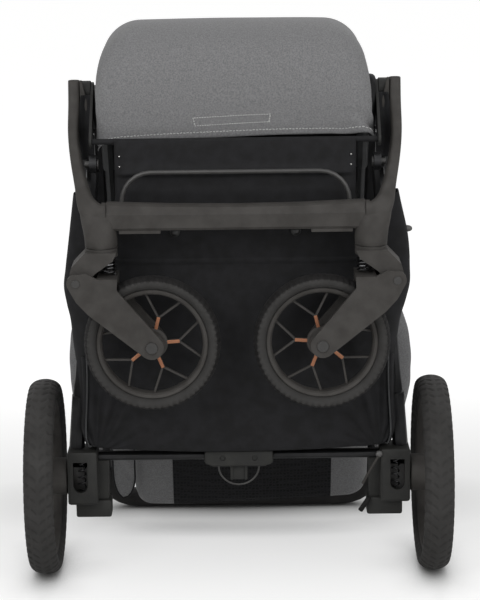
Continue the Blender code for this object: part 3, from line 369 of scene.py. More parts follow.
# Darker, duller rubber for the front tyres' outer band: painted shade where the crown turns away from view.
darker_rubber = grainy("polyurethane foam tyre, tread", "#1d1c1c", "#252424", 0.85, 0.9, 1.0,
                     Specular_IOR_Level=0.2)


def turn_to(bm, axis, centre):
    """Moves a shape made about +Z through the origin onto a wheel's axis and centre."""
    turn = Matrix.Rotation(math.radians(90.0), 4, "Y" if axis == "x" else "X")
    bmesh.ops.transform(bm, matrix=Matrix.Translation(centre) @ turn, verts=bm.verts)
    bmesh.ops.recalc_face_normals(bm, faces=bm.faces)


def spun(profile, steps):
    """Closed ring: a loop of (radius, height) points, spun round +Z."""
    bm = bmesh.new()
    verts = [bm.verts.new((radius, 0.0, height)) for radius, height in profile]
    edges = [bm.edges.new((verts[index - 1], verts[index])) for index in range(len(verts))]
    bmesh.ops.spin(bm, geom=verts + edges, cent=(0, 0, 0), axis=(0, 0, 1), dvec=(0, 0, 0),
                   angle=math.radians(360.0), steps=steps, use_merge=True, use_duplicate=False)
    bmesh.ops.remove_doubles(bm, verts=bm.verts, dist=0.000005)
    bmesh.ops.recalc_face_normals(bm, faces=bm.faces)
    return bm


def tyre_section(radius, height, half, points):
    """Loop of (radius, height) points round a tyre: narrow bead, full sidewalls, rounded crown."""
    bead = radius - height
    section = [(bead, -half * 0.62), (bead + height * 0.12, -half * 0.80),
               (bead + height * 0.34, -half * 0.97)]
    for index in range(points + 1):
        angle = math.radians(-75.0 + 150.0 * index / points)
        out = radius - height * 0.46 * (1 - math.cos(angle))
        section.append((out, half * math.sin(angle) / math.sin(math.radians(75.0))))
    section += [(r, -z) for r, z in reversed(section[:3])]
    return section


def block_cut(out, radius, turn, lean):
    """Depth of the front tyre's cuts: a row of blocks on each shoulder, set off by half a block."""
    if out > radius - 0.0050 and abs(lean) > 0.30:
        return 0.0013 if (turn + (0.5 if lean > 0 else 0.0) + 0.3 * abs(lean)) % 1.0 < 0.42 else 0.0
    return 0.0


def chevron_cut(out, radius, turn, lean):
    """Depth of the rear tyre's cuts: chevron sipes on the crown, and lugs along the shoulders."""
    lean = abs(lean)
    if out > radius - 0.013 and 0.10 < lean < 0.50:
        return 0.0013 if (turn + 1.3 * lean) % 1.0 < 0.30 else 0.0
    if out > radius - 0.018 and lean >= 0.62:
        return 0.0019 if (turn + 0.45 + 0.5 * lean) % 1.0 < 0.36 else 0.0
    return 0.0


def tyre(node, axis, height, points, blocks, steps, cut_at, shade_depth=0.0):
    """Tyre in the CAD tyre's place, with so many blocks round it, each of so many steps.

    Where the last argument is given, the rubber within that depth of the outside is the darker, duller one:
    painted shade where the crown turns away from view.
    """
    low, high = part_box(node)
    radius = (high - low)[2] / 2
    half = (high - low)[0 if axis == "x" else 1] / 2
    bm = spun(tyre_section(radius, height, half, points), blocks * steps)
    for vert in bm.verts:
        out = math.hypot(vert.co.x, vert.co.y)
        turn = math.atan2(vert.co.y, vert.co.x) / (2 * math.pi) * blocks
        cut = cut_at(out, radius, turn, vert.co.z / half)
        vert.co.x *= 1 - cut / out
        vert.co.y *= 1 - cut / out
    # Painted shade: faces near the outside take the darker rubber.
    if shade_depth:
        for face in bm.faces:
            face.material_index = int(face.calc_center_median().xy.length > radius - shade_depth)
    turn_to(bm, axis, (low + high) / 2)
    obj = mesh_piece(node + "_tread", bm, rubber)
    if shade_depth:
        obj.data.materials.append(darker_rubber)
    stand_in(obj, node)


for tag in "lr":
    tyre(f"front_tyre_{tag}", "y", 0.0173, 16, 64, 8, block_cut, 0.0052)
    tyre(f"rear_tyre_{tag}", "x", 0.027, 30, 56, 12, chevron_cut)

# Rims: nylon, moulded in one piece, with five forked spokes and a hub. On the front wheels a
# copper-coloured clip covers the stem of each spoke.
def bar(bm, start, end, width, thickness):
    """Straight bar between two points of the plane z = 0, of that width and thickness."""
    start, end = Vector((*start, 0.0)), Vector((*end, 0.0))
    along = end - start
    turn = along.to_track_quat("X", "Z").to_matrix().to_4x4()
    scale = Matrix.Diagonal((along.length, width, thickness, 1.0))
    bmesh.ops.create_cube(bm, size=1.0, matrix=Matrix.Translation((start + end) / 2) @ turn @ scale)


def polar(radius, degrees):
    """Point (x, y) at that radius and angle."""
    return radius * math.cos(math.radians(degrees)), radius * math.sin(math.radians(degrees))


SPOKE_PITCH = 72.0


def rim(node, axis, rim_radius, half, hub, hub_low, hub_high, bore, first):
    """Rim with forked spokes, in the place of the CAD rim; its first spoke stands at an angle."""
    low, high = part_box(node)
    centre = (low + high) / 2
    if axis == "x":
        centre.x = math.copysign(0.278, centre.x)
    ring = 0.0067
    edge = 0.001
    lip = [(rim_radius - ring, half * 0.70), (rim_radius - ring * 0.7, half * 0.92),
           (rim_radius - edge, half), (rim_radius, half - edge)]
    bm = spun([(r, -z) for r, z in lip] + lip[::-1] + [(rim_radius - ring - 0.0008, 0.0)], 144)
    core = spun([(bore, hub_low), (hub - edge, hub_low), (hub, hub_low + edge), (hub, hub_high - edge),
                 (hub - edge, hub_high), (bore, hub_high)], 48)
    shoulder = spun([(hub - 0.002, -0.0045), (hub + 0.004, -0.0035), (hub + 0.004, 0.0035),
                     (hub - 0.002, 0.0045)], 48)
    stem = hub + 0.021
    for index in range(5):
        angle = first + SPOKE_PITCH * index
        bar(bm, polar(hub - 0.002, angle), polar(stem, angle), 0.0052, 0.0062)
        for lean in (-21.0, 21.0):
            bar(bm, polar(stem - 0.001, angle + lean * 0.06), polar(rim_radius - ring + 0.001, angle + lean),
                0.0030, 0.0050)
    for part in (core, shoulder):
        holder = bpy.data.meshes.new("holder")
        part.to_mesh(holder)
        part.free()
        bm.from_mesh(holder)
        bpy.data.meshes.remove(holder)
    turn_to(bm, axis, centre)
    stand_in(beveled(mesh_piece(node + "_spoked", bm, nylon), 0.0006, 2, 30.0, 50.0), node)


copper = grainy("copper-coloured lacquer on moulded clips", "#8d5d43", "#a06d50", 0.38, 1.2, 0.2,
                Metallic=0.5)
for tag, side in SIDES:
    first_spoke = 4.0 if side < 0 else 176.0
    rim(f"front_rim_{tag}", "y", 0.0761, 0.0122, 0.017, -0.0258, 0.0258, 0.0056, first_spoke)
    hub_ends = sorted((side * 0.014, -side * 0.0315))
    rim(f"rear_rim_{tag}", "x", 0.1127, 0.0147, 0.0265, hub_ends[0], hub_ends[1], 0.0086, 90.0)
    low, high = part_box(f"front_rim_{tag}")
    bm = bmesh.new()
    for index in range(5):
        angle = first_spoke - side * SPOKE_PITCH * index
        bar(bm, polar(0.0195, angle), polar(0.0375, angle), 0.0050, 0.0072)
    turn_to(bm, "y", (low + high) / 2)
    stand_in(beveled(mesh_piece(f"spoke_clips_{tag}_covers", bm, copper), 0.0009, 3), f"spoke_clips_{tag}")
    softened(f"rear_hub_cap_{tag}", 0.0012, nylon, 3)

# Rear axle brackets, brake housing and pedal: nylon mouldings on the axle tube. They take a darker copy of
# the nylon, painted shade under the basket.
nylon_darkened_below = grainy("black nylon, darkened as painted shade below", "#232322", "#2a2a28", 0.62, 0.7, 0.6, Specular_IOR_Level=0.3)
for node in ("axle_bracket_l", "axle_bracket_r", "brake_housing", "brake_pedal"):
    softened(node, 0.0012, nylon_darkened_below, 3)

# Basket: black oxford polyester, a sewn bag that hangs between the crossbar and the rear axle.
# Folding flattens it, so its sides bulge out below the crossbar and its floor sags in a curve.
def woven(name, low, high, thread_mm, roughness, depth, fleck, fleck_scale, **more):
    """Cloth on Object coordinates: crossed threads as bump, and fibres of uneven colour."""
    made, shader = principled(name, high, roughness, **more)
    place = (add(made, "ShaderNodeTexCoord"), "Object")
    tint(made, shader, place, fleck_scale, low, high, fleck)
    threads = {"Vector": place, "Scale": math.pi / (0.01 * thread_mm), "Distortion": 0.6, "Detail": 1.0}
    bands = [add(made, "ShaderNodeTexWave", threads, bands_direction=direction) for direction in ("X", "Z")]
    crossed = add(made, "ShaderNodeMath", {0: (bands[0], 1), 1: (bands[1], 1)}, operation="MULTIPLY")
    creases = add(made, "ShaderNodeTexNoise", {"Vector": place, "Scale": 26.0, "Detail": 3.0})
    heights = add(made, "ShaderNodeMath", {0: (creases, 0), 1: 3.0, 2: (crossed, 0)},
                  operation="MULTIPLY_ADD")
    relief(made, shader, depth, 0.0005, (heights, 0))
    return made


black_cloth = woven("black polyester oxford, woven", "#161617", "#1e1e20", 1.5, 0.80, 0.5, 3.0, 60.0,
                    Specular_IOR_Level=0.25)
REAR_Y = -0.082
bag_levels = [(0.2080, -0.030, 0.020, 0.1833, 0.0), (0.2165, -0.036, 0.025, 0.1883, 0.0),
              (0.2230, -0.042, 0.032, 0.215, 0.0), (0.2235, -0.046, 0.037, 0.262, 0.0),
              (0.2235, -0.050, 0.041, 0.320, 0.0), (0.2290, -0.054, 0.037, 0.370, 0.0),
              (0.2370, -0.054, 0.030, 0.400, 0.0), (0.2415, -0.052, 0.024, 0.425, 0.0),
              (0.2385, -0.052, 0.017, 0.452, 0.0), (0.2335, -0.056, 0.010, 0.478, 0.010),
              (0.2240, -0.064, -0.004, 0.5125, 0.045)]
bag_plan = [Vector((h, (f + b) / 2, (b - f) / 2)) for h, f, b, z, rise in bag_levels]
bag_heights = [Vector((z, rise, 0.0)) for h, f, b, z, rise in bag_levels]


def along_line(points, share):
    """Point at a share of a Catmull-Rom chain."""
    place = min(max(share, 0.0), 0.99999) * (len(points) - 1)
    index = int(place)
    t = place - index
    start = points[index]
    end = points[index + 1]
    before = points[index - 1] if index else 2 * start - end
    after = points[index + 2] if index + 2 < len(points) else 2 * end - start
    return 0.5 * (2 * start + (end - before) * t + (2 * before - 5 * start + 4 * end - after) * t ** 2
                  + (3 * start - before - 3 * end + after) * t ** 3)


def surface(columns, rows, place, core):
    """Grid of quads whose corners a function places, from (across, up) in -1 to 1 and 0 to 1.

    Its faces look away from the core, a point.
    """
    bm = bmesh.new()
    bmesh.ops.create_grid(bm, x_segments=columns, y_segments=rows, size=1.0)
    for vert in bm.verts:
        vert.co = place(vert.co.x, (vert.co.y + 1) / 2)
    bm.normal_update()
    core = Vector(core)
    if sum(face.normal.dot(face.calc_center_median() - core) * face.calc_area() for face in bm.faces) < 0:
        bmesh.ops.reverse_faces(bm, faces=bm.faces)
    return bm


def thicken(obj, thickness, offset=-1.0):
    """Cloth thickness as a modifier."""
    wall = obj.modifiers.new("Thickness", "SOLIDIFY")
    wall.thickness = thickness
    wall.offset = offset
    return obj


def uneven(x, y, z):
    """Smooth noise at a place, from about -1 to 1."""
    return noise.noise(Vector((x, y, z)))


def bag_point(turn, up):
    """Point of the bag: turn runs round it from -1 to 1, up from the floor's middle to the rim."""
    inwards = min(1.0, up / 0.10)
    up = max(0.0, (up - 0.10) / 0.90)
    half, middle, deep = along_line(bag_plan, up)
    z, rise, _ = along_line(bag_heights, up)
    angle = math.pi * turn
    cosine, sine = math.cos(angle), math.sin(angle)
    x = half * math.copysign(abs(cosine) ** 0.42, cosine)
    y = deep * math.copysign(abs(sine) ** 0.42, sine)
    z += rise * max(0.0, (abs(x) / half - 0.6) / 0.4)
    edge = min(1.0, max(0.0, abs(x) - 0.125) / 0.05)
    aside, above = abs(x) - 0.202, z - 0.176
    ray = math.atan2(aside, max(above, 0.001))
    reach = min(1.0, math.hypot(aside, above) / 0.09)
    pleat = math.sin(ray * 19.0 + 2.0 * uneven(x * 14, 0.0, z * 7))
    folds = 0.0050 * edge * reach * pleat * (1 - up ** 2)
    hem_line = math.exp(-((z - 0.4635) / 0.0016) ** 2) if y < 0 else 0.0
    slack = 0.0030 * uneven(x * 9, y * 7, z * 11) + 0.0034 * hem_line
    sag = (0.0006 + 0.0088 * (x / half) ** 2) * max(0.0, 1 - up * 5) * (1.0 if y < 0 else 0.3)
    fore = math.copysign(1.0, y) * (folds + slack) * (1 if y < 0 else 0.2)
    if inwards < 1.0:
        return Vector((x * inwards, REAR_Y + middle + (y + fore) * inwards, z + sag - 0.003 * (1 - inwards)))
    belly = z - 0.490 if x > 0 else z - 0.340
    x += 0.0062 * (x / half) ** 2 * math.exp(-(belly / 0.052) ** 2) * math.copysign(1, x)
    return Vector((x, REAR_Y + middle + y + fore, z + sag))


bm = surface(200, 100, bag_point, (0.0, REAR_Y, 0.35))
bmesh.ops.remove_doubles(bm, verts=bm.verts, dist=0.0002)
bag = thicken(mesh_piece("basket_bag", bm, black_cloth), 0.0015, 0.0)
stand_in(bag, "basket")

# Trim of the basket: two press studs on its top edge and one at its right side, and the piping of
# its bottom hem, a cord in a bias strip of the same cloth.
stud_black = grainy("polished black nylon stud", "#0e0e0e", "#141414", 0.30, 1.5, 0.2)


def attached(obj, body):
    """The piece is an extra one: it rides on a body."""
    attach(obj, body)


def stand_up(bm, centre, axis, verts):
    """Moves a shape made about +Z through the origin onto an axis through a centre."""
    turn = Vector(axis).to_track_quat("Z", "Y").to_matrix().to_4x4()
    bmesh.ops.transform(bm, matrix=Matrix.Translation(centre) @ turn, verts=verts)


def buttons(name, domes, material, body):
    """Low domed buttons in one piece, each with its centre, normal, radius, height and brim."""
    bm = bmesh.new()
    for centre, normal, radius, height, brim in domes:
        profile = [(radius + brim, 0.0), (radius + brim, height * 0.25), (radius, height * 0.35),
                   (radius * 0.8, height * 0.75), (radius * 0.45, height * 0.95), (0.0, height)]
        verts = [bm.verts.new((r, 0.0, h)) for r, h in profile]
        edges = [bm.edges.new(pair) for pair in zip(verts, verts[1:])]
        bmesh.ops.spin(bm, geom=verts + edges, cent=(0, 0, 0), axis=(0, 0, 1), dvec=(0, 0, 0),
                       angle=math.radians(360.0), steps=24, use_merge=True, use_duplicate=False)
        fresh = [vert for vert in bm.verts if not vert.tag]
        stand_up(bm, centre, normal, fresh)
        for vert in fresh:
            vert.tag = True
    bmesh.ops.remove_doubles(bm, verts=bm.verts, dist=0.000005)
    bmesh.ops.recalc_face_normals(bm, faces=bm.faces)
    attached(mesh_piece(name, bm, material), body)


buttons("basket_studs", [((x, -0.1475, 0.5070), (0.0, -1.0, 0.1), 0.0058, 0.0034, 0.0014)
                         for x in (-0.0840, 0.0825)], stud_black, "rear_frame")
grey_nylon = grainy("grey nylon button", "#4b4a49", "#5a5958", 0.45, 1.0, 0.3)
buttons("basket_side_button", [((0.2352, -0.112, 0.5020), (1.0, -0.15, 0.0), 0.0048, 0.0105, 0.0)],
        grey_nylon, "rear_frame")


def swept(name, points, radius, material, body):
    """Round cord along points: a curve with a bevel, made a mesh."""
    curve = bpy.data.curves.new(name, "CURVE")
    curve.dimensions = "3D"
    spline = curve.splines.new("POLY")
    spline.points.add(len(points) - 1)
    for spot, point in zip(spline.points, points):
        spot.co = (*point, 1.0)
    curve.bevel_depth = radius
    curve.bevel_resolution = 5
    curve.use_fill_caps = True
    holder = bpy.data.objects.new(name + "_path", curve)
    bpy.context.scene.collection.objects.link(holder)
    bm = bmesh.new()
    bm.from_mesh(holder.evaluated_get(bpy.context.evaluated_depsgraph_get()).to_mesh())
    bpy.data.objects.remove(holder)
    attached(mesh_piece(name, bm, material), body)


hem = [bag_point(-0.975 + 0.95 * index / 120, 0.145) for index in range(121)]
swept("basket_piping", hem, 0.0017, black_cloth, "rear_frame")

# Folds at the lower corners of the basket: strips of the same cloth, turned over, and a grey-black
# welt beside each.
def laid(rows):
    """Quads over rows of points, each row with as many as the next."""
    bm = bmesh.new()
    rows = [[bm.verts.new(point) for point in row] for row in rows]
    for first, second in zip(rows, rows[1:]):
        for index in range(len(first) - 1):
            bm.faces.new((first[index], first[index + 1], second[index + 1], second[index]))
    bmesh.ops.recalc_face_normals(bm, faces=bm.faces)
    return bm


for tag, side in SIDES:
    rows = []
    for step in range(25):
        share = step / 24
        turn = 0.835 + 0.120 * share
        spread = 0.016 + 0.022 * share
        row = []
        for offset in (-1.0, -0.5, 0.0, 0.5, 1.0):
            point = bag_point(-(turn + spread * offset), 0.47 - 0.335 * share)
            point.y -= 0.0030 + 0.0020 * (1 - offset ** 2)
            point.x = side * abs(point.x)
            row.append(point)
        rows.append(row)
    fold = thicken(mesh_piece(f"basket_corner_fold_{tag}", laid(rows), black_cloth), 0.0016, 0.0)
    welt = []
    for step in range(31):
        point = bag_point(-(0.800 + 0.130 * step / 30), 0.50 - 0.36 * step / 30)
        welt.append(Vector((side * abs(point.x), point.y - 0.0055, point.z)))
    swept(f"basket_corner_welt_{tag}", welt, 0.0012, sleeve_nylon, "rear_frame")
    attached(fold, "rear_frame")

# Handle grip: closed-cell foam sleeve over the bent bar, with a fine skin.
foam = grainy("foam grip, skinned", "#262525", "#2e2d2d", 0.85, 1.3, 1.0, Specular_IOR_Level=0.3)
softened("handle_grip", 0.0015, foam)

# Backrest: a foam panel in grey melange cloth with fabric sides that wrap the handle tubes, and a
# black spacer mesh sewn into its back for air. Its face at the folded chair's front lies 70 mm before
# the line of the handle.
melange = woven("polyester melange, woven", "#6a6a6b", "#7f7f80", 1.2, 0.88, 0.35, 4.0, 520.0,
                Specular_IOR_Level=0.25, Sheen_Weight=0.15)
DOWN = Vector((0.0, 0.387493, -0.921873))
SQUARE = Vector((0.0, 0.921873, 0.387493))
HANDLE_HINGE = Vector((0.0, -0.067, 0.693))
FACE = 0.070
tray = [(0.065, 0.159, 0.009, 0.004), (0.075, 0.163, 0.011, 0.006), (0.180, 0.163, 0.012, 0.010),
        (0.300, 0.163, 0.014, 0.010), (0.337, 0.198, 0.071, 0.010), (0.500, 0.198, 0.071, 0.012),
        (0.650, 0.198, 0.071, 0.010), (0.678, 0.198, 0.050, 0.008), (0.690, 0.194, 0.044, 0.004)]


def by_handle(x, along, off):
    """Point at x, so far down the handle's line and so far behind it."""
    return HANDLE_HINGE + DOWN * along + SQUARE * off + Vector((x, 0.0, 0.0))


def tray_section(along):
    """Half width, depth and crown of the backrest at a distance down the handle."""
    for first, second in zip(tray, tray[1:]):
        if along <= second[0]:
            t = (along - first[0]) / (second[0] - first[0])
            return tuple(a + (b - a) * t for a, b in zip(first[1:], second[1:]))
    return tray[-1][1:]


def over_corner(across, half, depth, corner):
    """Point of a section with turned-down sides: its x and drop, and the two parts of its normal."""
    flat_half = half - corner
    quarter = corner * math.pi / 2
    s = abs(across) * (flat_half + quarter + depth - corner)
    if s < flat_half:
        return s, 0.0, 0.0, 1.0
    if s < flat_half + quarter:
        turn = (s - flat_half) / corner
        out, up = math.sin(turn), math.cos(turn)
        return flat_half + corner * out, corner * (1 - up), out, up
    return half, corner + (s - flat_half - quarter), 1.0, 0.0


def left_narrowing(along):
    """Factor on x left of the middle: the tray is narrower there in its lower part."""
    return 1 - 0.185 * min(1.0, max(0.0, (along - 0.52) / 0.05))


def tray_point(across, along, lift=0.0):
    """Point of the tray's front face, lifted off it: across from -1 to 1, along in metres."""
    half, depth, crown = tray_section(along)
    x, down, out, up = over_corner(across, half, depth, min(0.030, depth - 0.002))
    along -= 0.011 * max(0.0, across + 0.45) * max(0.0, (along - 0.45) / 0.24) ** 2
    down -= crown * (1 - (x / half) ** 2) + up * lift
    x += out * lift
    if across < 0:
        x *= left_narrowing(along)
    return by_handle(math.copysign(x, across), along, down - FACE)


def panel(name, columns, rows, place, core, material, thickness, offset=-1.0):
    """Piece of cloth whose points a function places, as in surface()."""
    return thicken(mesh_piece(name, surface(columns, rows, place, core), material), thickness, offset)


BACK_CORE = by_handle(0.0, 0.4, 0.0)
back = panel("backrest_tray", 110, 120, lambda across, up: tray_point(across, 0.065 + 0.625 * up), BACK_CORE,
             melange, 0.0045)
stand_in(back, "backrest")

mesh_cloth, mesh_shader = principled("black spacer mesh, knitted", "#121213", 0.8, Specular_IOR_Level=0.25)
place = (add(mesh_cloth, "ShaderNodeTexCoord"), "Object")
cells = add(mesh_cloth, "ShaderNodeTexVoronoi", {"Vector": place, "Scale": 190.0, "Randomness": 0.35},
            feature="DISTANCE_TO_EDGE")
feed(mesh_shader, "Base Color", ramp(mesh_cloth, (cells, 0), (0.0, "#202022"), (0.28, "#070708")))
relief(mesh_cloth, mesh_shader, 0.9, 0.001, (cells, 0), invert=True)


def tray_share(x, along):
    """Share across the tray at a width x."""
    half, depth, _ = tray_section(along)
    corner = min(0.030, depth - 0.002)
    if x < 0:
        x /= left_narrowing(along)
    return x / (half - corner + corner * math.pi / 2 + depth - corner)


def mesh_point(across, up):
    """Point of the mesh panel, which is as wide all the way down."""
    along = 0.34 + 0.349 * up
    return tray_point(tray_share(0.0197 + 0.1209 * across, along), along, 0.0009)


air_panel = mesh_piece("backrest_mesh", surface(50, 70, mesh_point, BACK_CORE), mesh_cloth)
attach(air_panel, "handle")

# Sides of the backrest: folds of grey melange that wrap the handle tubes, and, at the left, a loose
# flap below the axle, with a black piping sewn round its free edge.
def wing_point(side, out):
    """Place function of a side fold: it bulges outwards past the handle tube."""
    def place(across, up):
        along = 0.350 + 0.275 * up
        turn = math.radians(-95.0 + 190.0 * (across + 1) / 2)
        bulge = math.sin(math.pi * min(1.0, max(0.0, up))) ** 0.5
        wrinkle = 0.0016 * uneven(across * 2.2, along * 30, side * 5)
        x = 0.2120 + (out * bulge + 0.0125 + wrinkle) * math.cos(turn)
        return by_handle(side * x, along, 0.0185 * math.sin(turn))
    return place


for tag, side, out in (("l", -1.0, 0.0310), ("r", 1.0, 0.0390)):
    wing = panel(f"backrest_side_{tag}", 28, 60, wing_point(side, out), by_handle(side * 0.205, 0.4, 0.0),
                 melange, 0.0015)
    attached(wing, "handle")


def flap_point(across, up):
    """Loose flap at the left: it lies on the tray's side, lifts along a fold and rounds off below."""
    round_off = max(0.0, (up - 0.72) / 0.28)
    x = -0.1680 + 0.0168 * across * math.sqrt(max(0.0, 1 - 0.96 * round_off ** 2))
    along = 0.500 + 0.1750 * up
    fold = up - 0.30 - 0.20 * (across + 1)
    lift = 0.0010 + 0.0090 * math.exp(-(fold / 0.12) ** 2) + 0.0040 * up * (1 - across) / 2
    return by_handle(x - 0.0080, along, -lift - FACE)


flap = panel("backrest_flap", 30, 60, flap_point, (-0.164, 0.2, 0.13), melange, 0.0016)
attached(flap, "handle")
flap_edge = [flap_point(-1.0, 0.2 + 0.8 * step / 20) for step in range(20)]
flap_edge += [flap_point(-1.0 + 2.0 * step / 16, 1.0) for step in range(17)]
flap_edge += [flap_point(1.0, 1.0 - 0.8 * step / 20) for step in range(1, 21)]
swept("backrest_flap_piping", flap_edge, 0.0013, black_cloth, "handle")

# Webbing on the tray's mesh: a black strap sewn on in a bow and an olive-brown end of the same weave.
def webbing(name, low, high):
    """Woven strap: specks of uneven colour, and diagonal ribs about 1.4 mm apart."""
    made, shader = principled(name, high, 0.72, Specular_IOR_Level=0.3)
    place = (add(made, "ShaderNodeTexCoord"), "Object")
    tint(made, shader, place, 300.0, low, high)
    ribs = add(made, "ShaderNodeTexWave", {"Vector": place, "Scale": 260.0, "Distortion": 0.4},
               bands_direction="DIAGONAL")
    relief(made, shader, 0.5, 0.0004, (ribs, 1))
    return made


black_webbing = webbing("black polyester webbing", "#111112", "#1a1a1b")
olive_webbing = webbing("olive-brown polyester webbing", "#23211c", "#2e2b25")


def strap(name, route, width, material, across=(1.0, 0.0, 0.0)):
    """Flat strap, 1.4 mm thick, on a smooth line through points, with its edges rounded."""
    side = Vector(across).normalized() * (width / 2)
    middle = [along_line(route, step / 30) for step in range(31)]
    bm = laid([(point - side, point, point + side) for point in middle])
    thickness = 0.0014
    obj = thicken(mesh_piece(name, bm, material), thickness, 0.0)
    edges = obj.modifiers.new("Edges", "BEVEL")
    edges.width = thickness * 0.3
    edges.segments = 2
    edges.limit_method = "ANGLE"
    attached(obj, "handle")


def before_tray(x, z, lift=0.0035):
    """Point in front of the tray's lower middle at a height."""
    return Vector((x, 0.0820 + (0.1590 - z) * 0.413 - lift, z))


bow = [before_tray(0.049, 0.164), before_tray(0.050, 0.152, 0.005), before_tray(0.046, 0.140, 0.007),
       before_tray(0.036, 0.129, 0.008), before_tray(0.022, 0.122, 0.007), before_tray(0.006, 0.120)]
strap("backrest_strap_black", bow, 0.016, black_webbing, (0.75, 0.0, 0.66))
end = [before_tray(0.0500, 0.165, 0.006), before_tray(0.0510, 0.145, 0.007),
       before_tray(0.0520, 0.125, 0.006), before_tray(0.0520, 0.109, 0.005),
       before_tray(0.0515, 0.101, 0.004)]
strap("backrest_strap_olive", end, 0.0155, olive_webbing)

# Seat liner: a pad in grey melange, 6.5 mm thick before it is blown up as cloth, while its quilting
# seams are held. It lies in the hollow of the backrest, at the back of the folded chair, and a
# child would lean on this side. The two harness pads have no quilting.
def puffed(obj, held, cap):
    """Pad blown up as cloth: it stays put where held() says so, and moves by the cap at most."""
    even = obj.modifiers.new("Even", "REMESH")
    even.mode = "VOXEL"
    even.voxel_size = 0.0042
    obj.data = bpy.data.meshes.new_from_object(obj.evaluated_get(bpy.context.evaluated_depsgraph_get()))
    obj.modifiers.clear()
    flat = [vert.co.copy() for vert in obj.data.vertices]
    seams = obj.vertex_groups.new(name="seams")
    seams.add([index for index, place in enumerate(flat) if held(place)], 1.0, "REPLACE")
    cloth = obj.modifiers.new("Puff", "CLOTH")
    cloth.settings.use_pressure = True
    cloth.settings.uniform_pressure_force = 4.0
    cloth.settings.effector_weights.gravity = 0.0
    cloth.settings.vertex_group_mass = "seams"
    cloth.point_cache.frame_end = 20
    for frame in range(1, 21):
        bpy.context.scene.frame_set(frame)
    blown = bpy.data.meshes.new_from_object(obj.evaluated_get(bpy.context.evaluated_depsgraph_get()))
    bpy.context.scene.frame_set(1)
    obj.modifiers.clear()
    for vert, place in zip(blown.vertices, flat):
        move = vert.co - place
        if move.length > cap:
            vert.co = place + move * (cap / move.length)
    obj.data = blown
    obj.data.shade_smooth()
    smoother = obj.modifiers.new("Smoother", "SUBSURF")
    smoother.levels = smoother.render_levels = 1


def pad_box(name, centre, half, along, deep, material, quilting):
    """Pad in the backrest's hollow: centre and half width across, its span down it, its span in depth."""
    bm = bmesh.new()
    bmesh.ops.create_cube(bm, size=1.0)
    for vert in bm.verts:
        x, y, z = vert.co
        vert.co = (centre + 2 * half * x, (along[0] + along[1]) / 2 + (along[1] - along[0]) * y,
                   (deep[0] + deep[1]) / 2 + (deep[1] - deep[0]) * z)
    edges = [edge for edge in bm.edges if abs(edge.verts[0].co.z - edge.verts[1].co.z) > 0.001]
    bmesh.ops.bevel(bm, geom=edges, offset=min(0.022, half * 0.6), offset_type="OFFSET", segments=6,
                    affect="EDGES", profile=0.5, material=-1)
    obj = mesh_piece(name, bm, material)

    def held(place):
        on_seam = any(abs(place.y - level) < 0.0030 for level in quilting[0])
        return on_seam or any(abs(place.x - line) < 0.0030 for line in quilting[1])

    puffed(obj, held, SWELL)
    sink = [(level, 1) for level in quilting[0]] + [(line, 0) for line in quilting[1]]
    for vert in obj.data.vertices:
        groove = sum(math.exp(-((vert.co[axis] - level) / 0.0035) ** 2) for level, axis in sink)
        middle = (deep[0] + deep[1]) / 2
        vert.co.z = middle + (vert.co.z - middle) * (1 - 0.45 * min(1.0, groove))
        x, y, z = vert.co
        vert.co = by_handle(x, y, z - FACE)
    attached(obj, "handle")


SWELL = 0.0070
pad_box("seat_liner", 0.0, 0.138, (0.090, 0.625), (0.0085, 0.0150), melange,
        ([0.200, 0.320, 0.440, 0.540], [0.0]))
for tag, side in SIDES:
    pad_box(f"harness_pad_{tag}", side * 0.052, 0.0230, (0.300, 0.450), (0.0245, 0.0290), black_cloth,
            ([], []))

# Harness: webbing 24 mm wide through the shoulder pads, over the hips and between the legs, joined by
# a round buckle of black nylon. Its points are (x, distance down the handle, height over the tray).
routes = []
for tag, side in SIDES:
    hip = [(side * 0.120, 0.140, 0.018), (side * 0.090, 0.152, 0.0260), (side * 0.050, 0.168, 0.0290),
           (side * 0.014, 0.180, 0.0300)]
    shoulder = [(side * 0.052, 0.475, 0.018), (side * 0.052, 0.445, 0.0350), (side * 0.051, 0.315, 0.0350),
                (side * 0.030, 0.235, 0.0290), (side * 0.010, 0.200, 0.0300)]
    routes.append((f"harness_shoulder_{tag}", shoulder, (1.0, 0.0, 0.0)))
    routes.append((f"harness_hip_{tag}", hip, (0.2 * side, -DOWN.y, -DOWN.z)))
crotch = [(0.0, 0.100, 0.018), (0.0, 0.112, 0.0240), (0.0, 0.140, 0.0280), (0.0, 0.172, 0.0300)]
routes.append(("harness_crotch", crotch, (1.0, 0.0, 0.0)))
for name, route, across in routes:
    strap(name, [by_handle(x, along, lift - FACE) for x, along, lift in route], 0.024, black_webbing, across)
bm = spun([(0.0, 0.0), (0.0215, 0.0), (0.0225, 0.0010), (0.0225, 0.0060), (0.0205, 0.0085), (0.0120, 0.0095),
           (0.0112, 0.0085), (0.0, 0.0085)], 48)
stand_up(bm, by_handle(0.0, 0.184, 0.0300 - FACE), SQUARE, bm.verts)
buckle = mesh_piece("harness_buckle", bm, nylon)
buckle.data.set_sharp_from_angle(angle=math.radians(35.0))
attached(buckle, "handle")

# Seat pan: a board in black cloth, hanging between the seat brackets behind the wire bow. Its cover
# is slack: it laps over in one fold across the middle, just under the wire.
softened("seat_pan", 0.002, black_cloth)


